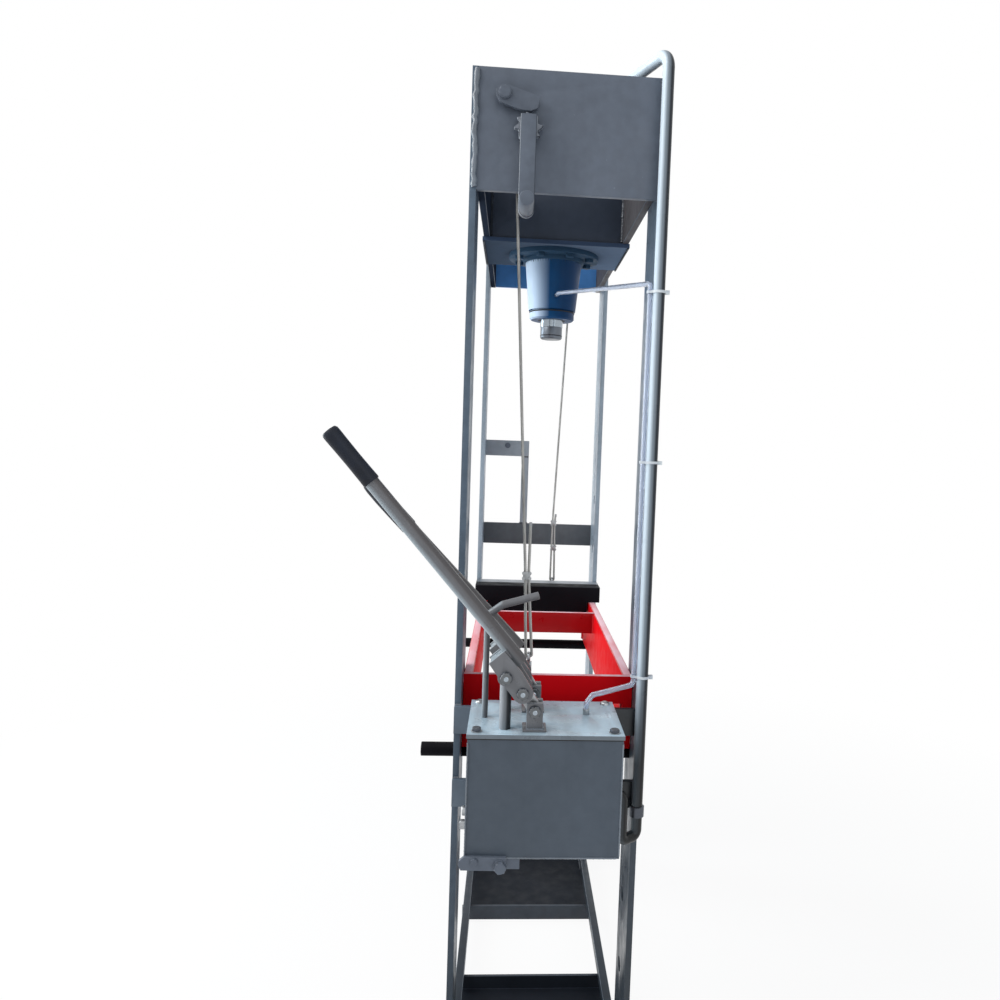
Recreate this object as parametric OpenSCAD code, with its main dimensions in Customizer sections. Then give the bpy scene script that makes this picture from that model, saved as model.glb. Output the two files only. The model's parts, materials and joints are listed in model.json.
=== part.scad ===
/* [Frame] */
// Width across the posts, along X
frame_w = 300; // [280:1:340]
// Length over the two columns, along Y
frame_l = 860; // [800:1:960]
// Height to the top of the posts
frame_h = 1665; // [1600:1:1800]
// Thickness of a post
post_t = 10; // [8:0.5:12]
// Depth of a post along Y
post_d = 100; // [90:1:110]
// Diameter of a table pin hole in a post
hole_d = 24; // [23:0.5:28]
// Spacing of the pin holes
hole_pitch = 125; // [115:1:135]
// Height of the lowest pin hole
hole_low = 213; // [190:1:230]
// Number of pin holes in a post
hole_n = 7; // [5:1:7]
// Which hole the table rests on, counted from 0
rest_n = 3; // [2:1:4]
// From a post's inner edge to the middle of its holes
hole_in = 35; // [32:1:40]
// Height of the cross bars on the near column
near_bar_h = 43; // [36:1:50]
// Bottom of the upper near cross bar
near_bar_z = 641; // [635:1:645]
// Bottom of the lower near cross bar
low_bar_z = 523; // [521:1:530]
// Thickness of the cross bars
bar_t = 10; // [8:0.5:12]
// Bottom of the far cross bar
far_bar_z = 837; // [820:1:850]
// Height of the far cross bar
far_bar_h = 54; // [45:1:60]
// Bottom of the short hanger bar
hanger_z = 1066; // [1050:1:1080]
// Height of the short hanger bar
hanger_h = 40; // [36:1:44]
// Right end of the short hanger bar
hanger_x = -29; // [-36:1:-25]

/* [Head] */
// Height of the near end plate
end_plate_h = 182; // [175:1:190]
// Height of the far end plate
far_plate_h = 169; // [165:1:185]
// Thickness of the end plates
end_plate_t = 10; // [8:0.5:12]
// Thickness of the side plates
side_t = 12; // [10:0.5:15]
// Height of the side plates
side_h = 172; // [165:1:176]
// Outer face of the cross plates from the middle
cross_y = 100; // [90:1:112]
// Thickness of the cross plates
cross_t = 12; // [10:0.5:15]
// Thickness of the bottom plate
bottom_t = 8; // [7:0.5:12]
// Half width of the bottom plate
bottom_x = 142; // [136:1:146]
// Half length of the bottom plate
bottom_y = 105; // [95:1:115]

/* [Base] */
// Half width of a base tray
tray_x = 153; // [151:1:170]
// Inner edge of a base tray from the middle
tray_y = 122; // [100:1:160]
// Height of a base tray
tray_h = 32; // [25:1:40]
// Thickness of a base tray
tray_t = 6; // [4:0.5:8]
// Width of a base rail
rail_w = 16; // [10:1:25]
// Height of a base rail
rail_h = 18; // [12:1:30]

/* [Cylinder] */
// Diameter of the flange
flange_d = 182; // [170:1:195]
// Thickness of the flange
flange_t = 9; // [8:0.5:12]
// Diameter of the barrel below the flange
barrel_top_d = 116; // [112:1:124]
// Diameter of the barrel above the gland
barrel_low_d = 96; // [93:1:100]
// Height of the tapered barrel
barrel_h = 103; // [95:1:115]
// Diameter of the barrel inside the head
barrel_in_d = 100; // [96:1:102]
// From the frame's top down to the cylinder cap
cap_drop = 25; // [15:1:30]
// Bore of the cylinder
bore_d = 80; // [76:0.5:82]
// Diameter of the gland
gland_d = 91; // [88:1:94]
// Height of the gland
gland_h = 19; // [15:1:24]
// Diameter of the ram
ram_d = 46; // [42:0.5:48]
// Length of bare ram below the gland at rest
ram_out = 14; // [8:1:20]
// Diameter of the ram nose
nose_d = 44.5; // [40:0.5:46]
// Height of the ram nose
nose_h = 24; // [18:1:30]
// Travel of the ram
ram_travel = 150; // [120:1:150]
// Radius of the ring of flange screws
screw_ring = 76; // [70:1:80]
// Number of flange screws
screw_n = 8; // [6:1:10]

/* [Table] */
// Half width of the table
table_x = 139; // [130:0.5:139.2]
// From a column's outer face in to the table's end
table_end = 45; // [40:1:50]
// Height of the side beams
beam_h = 122; // [110:1:130]
// Thickness of the side beams
beam_t = 15; // [12:0.5:18]
// Height of the cross members
member_h = 46; // [40:1:52]
// Thickness of the cross members
member_t = 10; // [8:0.5:12]
// Near face of the middle cross member
middle_y = 118; // [100:1:125]
// Diameter of the table pins
pin_d = 23; // [21:0.1:23.9]
// Length of the pin beyond the left posts
pin_left = 57; // [45:1:70]
// Length of the pin beyond the right posts
pin_right = 14; // [10:1:30]
// Thickness of a press plate
plate_t = 42; // [35:0.5:42]
// Half width of a press plate
plate_x = 150; // [142:1:152]
// Height of a press plate above the table
plate_up = 37; // [30:1:45]
// Depth of a press plate's tongue between the beams
plate_down = 32; // [25:1:40]
// Gap between the rear press plate and the far posts
plate_gap = 1.5; // [1:0.5:8]

/* [Winch] */
// Winch shaft from the middle, along X
shaft_x = -63; // [-64:0.5:-62]
// From the frame's top down to the winch shaft
shaft_drop = 90; // [85:1:95]
// Diameter of the winch shaft
shaft_d = 20; // [18:0.5:21]
// Radius of the cable drums
drum_r = 16; // [14:0.5:18]
// Height of the near cable's clip above the table
near_clip_up = 166; // [120:1:200]
// Height of the far cable's clip above the table
far_clip_up = 180; // [120:1:200]
// Diameter of the lifting cables
cable_d = 5; // [4:0.1:5.5]
// Outer radius of the ratchet wheel
ratchet_r = 22.5; // [21:0.5:24]
// Number of ratchet teeth
teeth = 12; // [10:1:14]
// Thickness of the ratchet wheel and pawl
ratchet_t = 8; // [6:0.5:9]
// From the winch shaft across to the pawl bolt
pawl_side = 37; // [35:0.5:39]
// From the winch shaft up to the pawl bolt
pawl_up = 47; // [45:0.5:49]
// From the winch shaft down to the crank handle
crank_len = 126; // [110:1:140]
// Width of the crank arm
crank_w = 24; // [22:1:26]
// Diameter of the crank handle
handle_d = 22; // [18:1:26]
// Length of the crank handle
handle_len = 60; // [50:1:80]
// Guide pulley from the middle, along X
pulley_x = 42; // [40:1:46]

/* [Pipes] */
// Outer diameter of the pressure pipe
pipe_d = 18; // [16:0.5:18]
// Inner diameter of the pressure pipe
pipe_bore = 12; // [8:0.5:13]
// Bend radius of the pressure pipe
pipe_bend = 24; // [22:1:26]
// Outer diameter of the drain hose
hose_d = 8; // [6:0.5:8]
// Inner diameter of the drain hose
hose_bore = 5; // [3:0.5:5.5]

/* [Tank and pump] */
// Left side of the tank
tank_x0 = -121; // [-125:1:-117]
// Right side of the tank
tank_x1 = 98; // [93:1:100]
// Depth of the tank along Y
tank_d = 153; // [152:1:160]
// Bottom of the tank
tank_z0 = 518; // [512:1:520]
// Top of the tank lid
tank_z1 = 696; // [690:1:700]
// Wall of the tank
tank_wall = 3; // [2:0.5:4]
// Thickness of the lid
lid_t = 6; // [4:0.5:8]
// Thickness of the lid gasket
gasket_t = 2; // [1:0.5:3]
// From the cross bars out to the middle of the front pump lever
lever_a_out = 126; // [124:0.5:128]
// From the cross bars out to the middle of the rear pump lever
lever_b_out = 42; // [40:0.5:44]
// Height of the release valve's bend above the lid
valve_up = 146; // [140:1:160]
// From the tank's left side to the pump pistons
piston_in = 51; // [49:1:53]
// Diameter of a pump piston
piston_d = 16.5; // [14:0.5:18]
// Diameter of the lever bolts
bolt_d = 10; // [8:0.5:11]
// Outer diameter of a lever tube
tube_d = 21; // [18:0.5:22]
// Distance of the front lever's end from its link bolt
lever_a_len = 448; // [400:1:480]
// Distance of the rear lever's end from its link bolt
lever_b_len = 366; // [340:1:390]
// Diameter of the grips
grip_d = 25; // [23:0.5:28]
// Length of the grips
grip_len = 88; // [75:1:105]
// Diameter of the release valve rod
valve_d = 9; // [8:0.5:12]
// Diameter of the release lever's arm
arm_d = 11; // [9:0.5:13]

/* [Hidden] */
$fn = 48;

eps = 0.01;
fit = 0.05;            // radial clearance of a running fit
soft_gap = 0.3;        // gap between curved faces that don't run on each other
paint = [0.42, 0.46, 0.51];
dark_paint = [0.24, 0.28, 0.34];
blue_paint = [0.13, 0.23, 0.36];
red_paint = [0.80, 0.07, 0.08];
black = [0.06, 0.06, 0.07];
steel = [0.70, 0.72, 0.74];
rubber = [0.08, 0.09, 0.11];
clear = [0.75, 0.80, 0.92];

side_z = frame_h - side_h;
cap_z = frame_h - cap_drop;
shaft_z = frame_h - shaft_drop;
pawl_x = shaft_x - pawl_side;
pawl_z = shaft_z + pawl_up;
post_x = frame_w / 2;
inner_x = post_x - post_t;
col_y = frame_l / 2;
inner_y = col_y - post_d;
hole_y = inner_y + hole_in;
pin_z = hole_low + rest_n * hole_pitch;
end_z = frame_h - end_plate_h;
table_z0 = pin_z + pin_d / 2;
table_z = table_z0 + beam_h;
bottom_z = side_z - bottom_t;
flange_z = bottom_z - flange_t;
gland_z = flange_z - barrel_h - gland_h;
nose_z = gland_z - ram_out - nose_h;
barrel_floor = gland_z + gland_h;
cavity_top = cap_z - 12;
piston_head_h = 34;
head_z = cavity_top - piston_head_h - 2;
front_y = -col_y - bar_t;
table_y = col_y - table_end;
cable_y = table_y - member_t / 2;
rear_plate_y = inner_y - plate_gap - plate_t;
plate_y = rear_plate_y - plate_t - 0.5;
lever_a_y = front_y - lever_a_out;
lever_b_y = front_y - lever_b_out;
valve_y = (lever_a_y + lever_b_y) / 2 + 4;
tank_y0 = front_y - tank_d;
shell_z1 = tank_z1 - lid_t - gasket_t;
pipe_x = post_x - 5.5;
pipe_y = front_y - pipe_d / 2 - soft_gap;
pipe_top = frame_h + 31;
hose_x = pipe_x - pipe_d / 2 - hose_d / 2 - soft_gap;
hose_y = pipe_y + 4;

// Vector helpers
function unit(v) = v / norm(v);
function side_of(z) = abs(z[2]) < 0.9 ? unit(cross([0, 0, 1], z)) : unit(cross([1, 0, 0], z));

module place(o, x, y, z)
    multmatrix([[x[0], y[0], z[0], o[0]], [x[1], y[1], z[1], o[1]],
        [x[2], y[2], z[2], o[2]], [0, 0, 0, 1]]) children();

// A box given by its two corners
module block(a, b) translate(a) cube(b - a);

// A round bar from a to b
module bar_between(a, b, r) {
    z = unit(b - a);
    x = side_of(z);
    place(a, x, cross(z, x), z) cylinder(h = norm(b - a), r = r);
}

// A cylinder along Y from y0 to y1
module y_rod(x, z, y0, y1, r, n = 0)
    translate([x, y1, z]) rotate([90, 0, 0]) cylinder(h = y1 - y0, r = r, $fn = n > 0 ? n : $fn);

// A cylinder along X from x0 to x1
module x_rod(y, z, x0, x1, r, n = 0)
    translate([x0, y, z]) rotate([0, 90, 0]) cylinder(h = x1 - x0, r = r, $fn = n > 0 ? n : $fn);

// A plate in the XZ plane from y0 to y1, drawn by its 2D children
module xz_plate(y0, y1) translate([0, y1, 0]) rotate([90, 0, 0]) linear_extrude(y1 - y0) children();

// How far a bend of radius bend reaches along its legs
function leg(u, v, bend) = bend * tan(acos(max(-1, min(1, u * v))) / 2);

// A round bar along points, with its corners bent to one radius. The elbows are a hair
// thicker than the straights, which end a little way inside them.
step = 0.06;
function inside(i, last) = i == 0 || i == last ? 0 : 0.4;
function bend_at(bend, i) = is_list(bend) ? bend[i] : bend;
module bent_bar(pts, bend, r) {
    n = len(pts);
    dirs = [for (i = [0 : n - 2]) unit(pts[i + 1] - pts[i])];
    legs = [for (i = [0 : n - 1]) i == 0 || i == n - 1 ? 0 : leg(dirs[i - 1], dirs[i], bend_at(bend, i))];
    for (i = [0 : n - 2])
        bar_between(pts[i] + dirs[i] * (legs[i] - inside(i, n - 1)),
            pts[i + 1] - dirs[i] * (legs[i + 1] - inside(i + 1, n - 1)), r);
    for (i = [1 : n - 2]) elbow(pts[i], dirs[i - 1], dirs[i], bend_at(bend, i), r + step);
}

// The bent corner of a bar that arrives along u and leaves along v
module elbow(p, u, v, bend, r) {
    angle = acos(u * v);
    inward = unit(v - u * (u * v));
    start = p - u * leg(u, v, bend);
    place(start + inward * bend, -inward, u, cross(-inward, u))
        rotate_extrude(angle = angle, $fn = 48) translate([bend, 0]) circle(r);
}

// Frame

module post(sx, sy) {
    difference() {
        block([min(sx * inner_x, sx * post_x), min(sy * inner_y, sy * col_y), tray_t],
            [max(sx * inner_x, sx * post_x), max(sy * inner_y, sy * col_y), frame_h]);
        for (i = [0 : hole_n - 1])
            x_rod(sy * hole_y, hole_low + i * hole_pitch, -post_x - 1, post_x + 1, hole_d / 2);
    }
}

module near_posts() color(paint) for (sx = [-1, 1]) post(sx, -1);

module far_posts() color(paint) for (sx = [-1, 1]) post(sx, 1);

module end_plate(sy, h) {
    difference() {
        block([-inner_x, min(sy * col_y, sy * (col_y - end_plate_t)), frame_h - h],
            [inner_x, max(sy * col_y, sy * (col_y - end_plate_t)), frame_h]);
        y_rod(shaft_x, shaft_z, -col_y - 1, col_y + 1, bush_d / 2 + 0.05);
        children();
    }
}

module near_end_plate() color(paint)
    end_plate(-1, end_plate_h) y_rod(pawl_x, pawl_z, -col_y - 1, col_y + 1, pawl_bolt_d / 2);

module far_end_plate() color(dark_paint)
    end_plate(1, far_plate_h) y_rod(pulley_x, pulley_z, -col_y - 1, col_y + 1, pulley_bolt_d / 2);

module head_side_plates() color(dark_paint) for (sx = [-1, 1])
    translate([sx * (inner_x - side_t / 2), 0, (side_z + frame_h) / 2])
        cube([side_t, 2 * (col_y - end_plate_t), frame_h - side_z], center = true);

module head_cross_plates() color(dark_paint) difference() {
    for (sy = [-1, 1])
        translate([0, sy * (cross_y - cross_t / 2), (side_z + frame_h) / 2])
            cube([2 * (inner_x - side_t), cross_t, frame_h - side_z], center = true);
    y_rod(shaft_x, shaft_z, -cross_y - 1, cross_y + 1, shaft_d / 2 + 2);
}

module head_bottom_plate() color(dark_paint) difference() {
    block([-bottom_x, -bottom_y, bottom_z], [bottom_x, bottom_y, side_z]);
    translate([0, 0, bottom_z - 1]) cylinder(h = bottom_t + 2, r = barrel_in_d / 2 + 0.2);
    screw_places() translate([0, 0, -1]) cylinder(h = 40, r = screw_d / 2);
}

// The beads lie on the flush front, where the end plate meets the left post
bead_r = 3.6;
bead_n = 18;
module weld_beads() color(paint) difference() {
    for (i = [0 : bead_n - 1]) let (bead = (end_plate_h - 6) / bead_n)
        translate([-inner_x + 0.8 * sin(i * 137), -col_y, end_z + 3 + i * bead])
            cylinder(h = bead + 0.5, r = bead_r + 0.7 * sin(i * 97));
    translate([-inner_x, -col_y + 10, end_z + end_plate_h / 2])
        cube([20, 20, end_plate_h], center = true);
}

module base_rails() color(paint) for (sx = [-1, 1])
    translate([sx * (post_x - rail_w / 2), 0, tray_h + rail_h / 2])
        cube([rail_w, 2 * inner_y, rail_h], center = true);

tray_out = col_y + tray_t;
anchor_x = 100;
anchor_y = tray_out - 30;
anchor_d = 14;
module base_trays() color(dark_paint) for (sy = [-1, 1]) mirror([0, sy < 0 ? 1 : 0, 0]) {
    difference() {
        block([-tray_x, tray_y, 0], [tray_x, tray_out, tray_t]);
        for (sx = [-1, 1])
            translate([sx * anchor_x, anchor_y, -1]) cylinder(h = tray_t + 2, r = anchor_d / 2);
    }
    block([-tray_x, tray_y, tray_t], [tray_x, tray_y + tray_t, tray_h]);
    block([-tray_x, col_y, tray_t], [tray_x, tray_out, tray_h]);
}

tank_bolt_x = [-80, 60];
module near_cross_bars() color(paint) difference() {
    for (z = [low_bar_z, near_bar_z])
        block([-post_x, front_y, z], [post_x, -col_y, z + near_bar_h]);
    for (x = tank_bolt_x) y_rod(x, tank_bolt_z, front_y - 1, -col_y + 1, tank_bolt_d / 2);
}

// The far column's bars lie on its outer face, with a strip welded between them
hanger_strip_w = 18;
module far_cross_bars() color(dark_paint) {
    block([-post_x, col_y, far_bar_z], [post_x, col_y + bar_t, far_bar_z + far_bar_h]);
    difference() {
        block([-post_x, col_y, hanger_z], [hanger_x, col_y + bar_t, hanger_z + hanger_h]);
        y_rod(hanger_screw_x, hanger_screw_z, col_y - 1, col_y + bar_t + 1, 4);
    }
    block([hanger_x - hanger_strip_w, col_y, far_bar_z + far_bar_h],
        [hanger_x, col_y + bar_t, hanger_z]);
}

// Cylinder

screw_d = 10;
module screw_places() for (i = [0 : screw_n - 1])
    rotate([0, 0, (i + 0.5) * 360 / screw_n]) translate([screw_ring, 0, flange_z]) children();

barb_z = barrel_floor + 24;
barb_angle = -84;
barb_r = barrel_low_d / 2 + (barrel_top_d - barrel_low_d) / 2 * 24 / barrel_h;
barb_dir = [cos(barb_angle), sin(barb_angle), 0];
module cylinder_barrel() color(blue_paint) difference() {
    union() {
        rotate_extrude($fn = 96) polygon([[0, barrel_floor], [barrel_low_d / 2, barrel_floor],
            [barrel_top_d / 2, flange_z], [flange_d / 2, flange_z], [flange_d / 2, bottom_z],
            [barrel_in_d / 2, bottom_z], [barrel_in_d / 2, cavity_top], [0, cavity_top]]);
    }
    translate([0, 0, barrel_floor - 1]) cylinder(h = cavity_top, r = bore_d / 2);
    screw_places() translate([0, 0, -1]) cylinder(h = flange_t + 2, r = screw_d / 2);
    bar_between([0, 0, barb_z] + barb_dir * (bore_d / 2 - 4), [0, 0, barb_z] + barb_dir * 80, 3);
}

seal_h = 5;
module cylinder_gland() color(steel) rotate_extrude($fn = 96) polygon([
    [ram_d / 2 + fit, gland_z + seal_h], [ram_d / 2 + 5, gland_z + seal_h],
    [ram_d / 2 + 5, gland_z], [gland_d / 2 - 3, gland_z], [gland_d / 2, gland_z + 3],
    [gland_d / 2, barrel_floor - 4], [gland_d / 2 - 1.5, barrel_floor - 4],
    [gland_d / 2 - 1.5, barrel_floor], [ram_d / 2 + fit, barrel_floor]]);

module wiper_seal() color(black) rotate_extrude() polygon([
    [ram_d / 2 + fit, gland_z], [ram_d / 2 + 5, gland_z],
    [ram_d / 2 + 5, gland_z + seal_h], [ram_d / 2 + fit, gland_z + seal_h]]);

port_h = 14;
module cylinder_cap() color(blue_paint) difference() {
    translate([0, 0, cavity_top]) union() {
        cylinder(h = cap_z - cavity_top, r = barrel_in_d / 2);
        cylinder(h = cap_z - cavity_top + port_h, r = 17);
    }
    translate([0, 0, cavity_top - 1]) cylinder(h = 80, r = pipe_bore / 2);
}

module hex_bolt(r, head_r, head_h, length) {
    translate([0, 0, -head_h]) cylinder(h = head_h, r = head_r, $fn = 6);
    cylinder(h = length, r = r);
}

module flange_screws() color(steel) screw_places()
    hex_bolt(screw_d / 2 - bolt_play, screw_d * 0.9, 6.5, flange_t + bottom_t);

// Ram

module ram() color(steel) {
    rotate_extrude($fn = 96) polygon([[0, nose_z + nose_h], [ram_d / 2, nose_z + nose_h],
        [ram_d / 2, head_z], [bore_d / 2 - fit, head_z],
        [bore_d / 2 - fit, head_z + 12], [bore_d / 2 - 5, head_z + 12],
        [bore_d / 2 - 5, head_z + 22], [bore_d / 2 - fit, head_z + 22],
        [bore_d / 2 - fit, head_z + piston_head_h], [0, head_z + piston_head_h]]);
    translate([0, 0, head_z + 12]) difference() {
        cylinder(h = 10, r = bore_d / 2 - fit);
        translate([0, 0, -1]) cylinder(h = 12, r = bore_d / 2 - 5);
    }
}

module ram_nose() color(dark_paint) rotate_extrude($fn = 96) polygon([[0, nose_z],
    [nose_d / 2 - 2.5, nose_z], [nose_d / 2, nose_z + 2.5], [nose_d / 2, nose_z + nose_h],
    [0, nose_z + nose_h]]);

// The return spring's outer shape, between the gland and the piston head
spring_d = 74;
spring_wire = 6;
module return_spring() color(steel) translate([0, 0, barrel_floor]) difference() {
    cylinder(h = head_z - barrel_floor, r = spring_d / 2);
    translate([0, 0, -1]) cylinder(h = head_z - barrel_floor + 2, r = spring_d / 2 - spring_wire);
}

// Pressure pipe and drain hose

nut_l = 8;
port_in = 28;
port_up = 40;
loop_out = 20;
loop_drop = 35;
pipe_lean = [0.606, 0.685];
tank_port_y = front_y - port_in;
tank_port_z = tank_z0 + port_up;
loop_x = tank_x1 + loop_out;
loop_z = tank_z0 - loop_drop;
pipe_route = [[tank_x1 + nut_l, tank_port_y, tank_port_z], [loop_x, tank_port_y, tank_port_z],
    [loop_x, tank_port_y, loop_z], [pipe_x, pipe_y, loop_z], [pipe_x, pipe_y, pipe_top],
    [pipe_x * pipe_lean[0], pipe_y * pipe_lean[1], pipe_top], [0, 0, pipe_top], [0, 0, cap_z + port_h]];
low_bend = 11;
module pressure_pipe() color(paint) difference() {
    pipe_run(pipe_d / 2, 0);
    pipe_run(pipe_bore / 2, 1);
}

// The low loop has tighter bends than the long run, and both reach a little past a collar
collar_z = loop_z + 40;
module pipe_run(r, over) {
    low = [for (i = [0 : 3]) pipe_route[i]];
    bent_bar(concat([low[0] - [over, 0, 0]], [low[1], low[2], low[3]],
        [[pipe_x, pipe_y, collar_z]]), low_bend, r);
    bent_bar(concat([[pipe_x, pipe_y, collar_z - over]], [for (i = [4 : 6]) pipe_route[i]],
        [pipe_route[7] - [0, 0, over]]), pipe_bend, r);
}

barb_len = 13;
barb_end = [0, 0, barb_z] + barb_dir * (barb_r + barb_len);
nipple_in = 46;
nipple_out = 62;
nipple_h = 9;
hose_loop = 27;
lid_barb = [tank_x1 - nipple_in, front_y - nipple_out, tank_z1];
hose_top = gland_z - 2;
hose_low = tank_z1 + hose_loop + 3;
hose_route = [barb_end, barb_end + barb_dir * 16, [hose_x, hose_y, hose_top],
    [hose_x, hose_y, hose_low], lid_barb + [30, 22, hose_loop + 1],
    lid_barb + [9, 6, hose_loop + 1], lid_barb + [0, 0, hose_loop - 10], lid_barb + [0, 0, nipple_h]];
module hose_run(r, over) {
    n = len(hose_route) - 1;
    bent_bar(concat([hose_route[0] - barb_dir * over], [for (i = [1 : n - 1]) hose_route[i]],
        [hose_route[n] - [0, 0, over]]), 9, r);
}
module drain_hose() color(clear) difference() {
    hose_run(hose_d / 2, 0);
    hose_run(hose_bore / 2, 1);
}

// The nipples that the hose is pushed on, and the pipe's union nut and elbow boss
nut_r = 14;
module pipe_fittings() color(steel) {
    difference() {
        union() {
            bar_between(barb_end - barb_dir * (barb_len + 5.5), barb_end - barb_dir * 2, 3);
            bar_between(barb_end - barb_dir * 8, barb_end, hose_d / 2);
        }
        bar_between(barb_end - barb_dir * 30, barb_end + barb_dir, 1.5);
    }
    difference() {
        translate(lid_barb) cylinder(h = nipple_h, r = hose_d / 2 + 1);
        translate(lid_barb - [0, 0, 1]) cylinder(h = nipple_h + 2, r = 1.5);
    }
    difference() {
        x_rod(tank_port_y, tank_port_z, tank_x1, tank_x1 + nut_l, nut_r, 6);
        x_rod(tank_port_y, tank_port_z, tank_x1 - 1, tank_x1 + nut_l + 1, pipe_bore / 2);
    }
}

tie_z = [738, 1076, 1337];
tie_t = 1.2;
module tie_shape(grow) {
    dx = hose_x - pipe_x;
    dy = hose_y - pipe_y;
    rp = pipe_d / 2 + grow;
    rh = hose_d / 2 + grow;
    circle(rp);
    translate([dx, dy]) circle(rh);
    polygon([[0, rp], [dx, dy + rh], [dx, dy - rh], [0, -rp]]);
}
module cable_ties() color([0.85, 0.87, 0.92]) for (z = tie_z)
    translate([pipe_x, pipe_y, z]) {
        linear_extrude(4) difference() {
            tie_shape(soft_gap + tie_t);
            tie_shape(soft_gap);
        }
        translate([pipe_d / 2 + soft_gap + tie_t / 2, -3, -1]) cube([6, 6, 6]);
    }

// Tank

module tank_shell() color(paint) difference() {
    block([tank_x0, tank_y0, tank_z0], [tank_x1, front_y, shell_z1]);
    block([tank_x0 + tank_wall, tank_y0 + tank_wall, tank_z0 + tank_wall],
        [tank_x1 - tank_wall, front_y - tank_wall, shell_z1 + 1]);
    x_rod(tank_port_y, tank_port_z, tank_x1 - 9, tank_x1 + 1, pipe_bore / 2);
    for (x = tank_bolt_x) y_rod(x, tank_bolt_z, front_y - 9, front_y + 1, tank_bolt_d / 2);
    for (p = lid_screw_at) translate([p[0], p[1], shell_z1 - 20]) cylinder(h = 30, r = 3);
}

lid_over = 1.5;
lid_in = 12;
lid_screw_at = [[tank_x0 + lid_in, tank_y0 + lid_in], [tank_x1 - lid_in, tank_y0 + lid_in],
    [tank_x0 + lid_in, front_y - lid_in], [tank_x1 - lid_in, front_y - lid_in]];

// Openings of the lid for the pistons, the valve rod and the drain nipple
piston_x = tank_x0 + piston_in;
valve_at = [piston_x - 30, valve_y];
module lid_holes(h) {
    for (y = [lever_a_y, lever_b_y]) translate([piston_x, y, 0]) cylinder(h = h, r = piston_d / 2 + fit);
    translate([valve_at[0], valve_at[1], 0]) cylinder(h = h, r = valve_d / 2 + fit);
    translate([lid_barb[0], lid_barb[1], 0]) cylinder(h = h, r = 1.5);
    for (p = lid_screw_at) translate([p[0], p[1], 0]) cylinder(h = h, r = 3);
}

module tank_lid() color([0.52, 0.56, 0.61]) difference() {
    block([tank_x0 - lid_over, tank_y0 - lid_over, tank_z1 - lid_t],
        [tank_x1 + lid_over, front_y, tank_z1]);
    translate([0, 0, tank_z1 - lid_t - 1]) lid_holes(lid_t + 2);
}

gasket_pad = 20;
gasket_w = 8;
module lid_gasket() color(black) difference() {
    block([tank_x0, tank_y0, shell_z1], [tank_x1, front_y, shell_z1 + gasket_t]);
    for (in = [[gasket_pad, gasket_w], [gasket_w, gasket_pad]])
        block([tank_x0 + in[0], tank_y0 + in[1], shell_z1 - 1], [tank_x1 - in[0], front_y - in[1], tank_z1]);
    for (p = lid_screw_at) translate([p[0], p[1], shell_z1 - 1]) cylinder(h = 9, r = 3);
}

module lid_screws() color(dark_paint) for (p = lid_screw_at) {
    translate([p[0], p[1], tank_z1]) cylinder(h = 5, r = 6.5, $fn = 6);
    translate([p[0], p[1], shell_z1]) cylinder(h = tank_z1 - shell_z1, r = 3 - bolt_play);
}

block_z = tank_z1 - lid_t - 92;
module pump_block() color(steel) difference() {
    union() {
        block([valve_at[0] - 12, lever_a_y - 18, block_z], [piston_x + 22, lever_b_y + 20, shell_z1 - 1]);
        block([piston_x - 14, lever_a_y - 18, block_z], [piston_x + 22, lever_b_y + 20, tank_z1 - lid_t]);
    }
    for (y = [lever_a_y, lever_b_y])
        translate([piston_x, y, block_z + 8]) cylinder(h = 99, r = piston_d / 2 + fit);
    translate([valve_at[0], valve_at[1], block_z + 30]) cylinder(h = 99, r = valve_d / 2 + fit);
}

filter_h = 40;
module suction_filter() color(steel) translate([piston_x, (lever_a_y + lever_b_y) / 2, 0]) {
    translate([0, 0, block_z - 12]) cylinder(h = 12, r = 6);
    translate([0, 0, block_z - 12 - filter_h]) difference() {
        cylinder(h = filter_h, r = 16);
        for (i = [1 : 5]) translate([0, 0, i * 6.5]) difference() {
            cylinder(h = 2.5, r = 17);
            translate([0, 0, -1]) cylinder(h = 5, r = 14);
        }
    }
}

// Pump linkage: bolt 1 joins piston and lever, bolt 2 lever and link, bolt 3 link and lug
b1 = [piston_x, tank_z1 + 78];
b2 = [piston_x + 24, tank_z1 + 56];
b3 = [piston_x + 42, tank_z1 + 29];
lug_w = 23;
lug_h = 40;
lug_d = 27;
link_t = 9;
lever_gap = 14;
lever_plate_t = 6;
link_eye = bolt_d / 2 + 1.3;   // bolt 3 has play in the link's lower eye

module pump_lugs() color(paint) for (y = [lever_a_y, lever_b_y]) {
    difference() {
        block([b3[0] - lug_w / 2, y - lug_d / 2, tank_z1], [b3[0] + lug_w / 2, y + lug_d / 2, tank_z1 + lug_h]);
        block([b3[0] - lug_w, y - link_t / 2 - 0.5, tank_z1 + 12],
            [b3[0] + lug_w, y + link_t / 2 + 0.5, tank_z1 + lug_h + 1]);
        y_rod(b3[0], b3[1], y - 30, y + 30, bolt_d / 2);
    }
    y_rod(b3[0], b3[1], y - lug_d / 2, y + lug_d / 2, bolt_d / 2);
    y_rod(b3[0], b3[1], y - lug_d / 2 - 6, y - lug_d / 2, bolt_d * 0.85, 6);
    y_rod(b3[0], b3[1], y + lug_d / 2, y + lug_d / 2 + 6, bolt_d * 0.85, 6);
}

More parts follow.
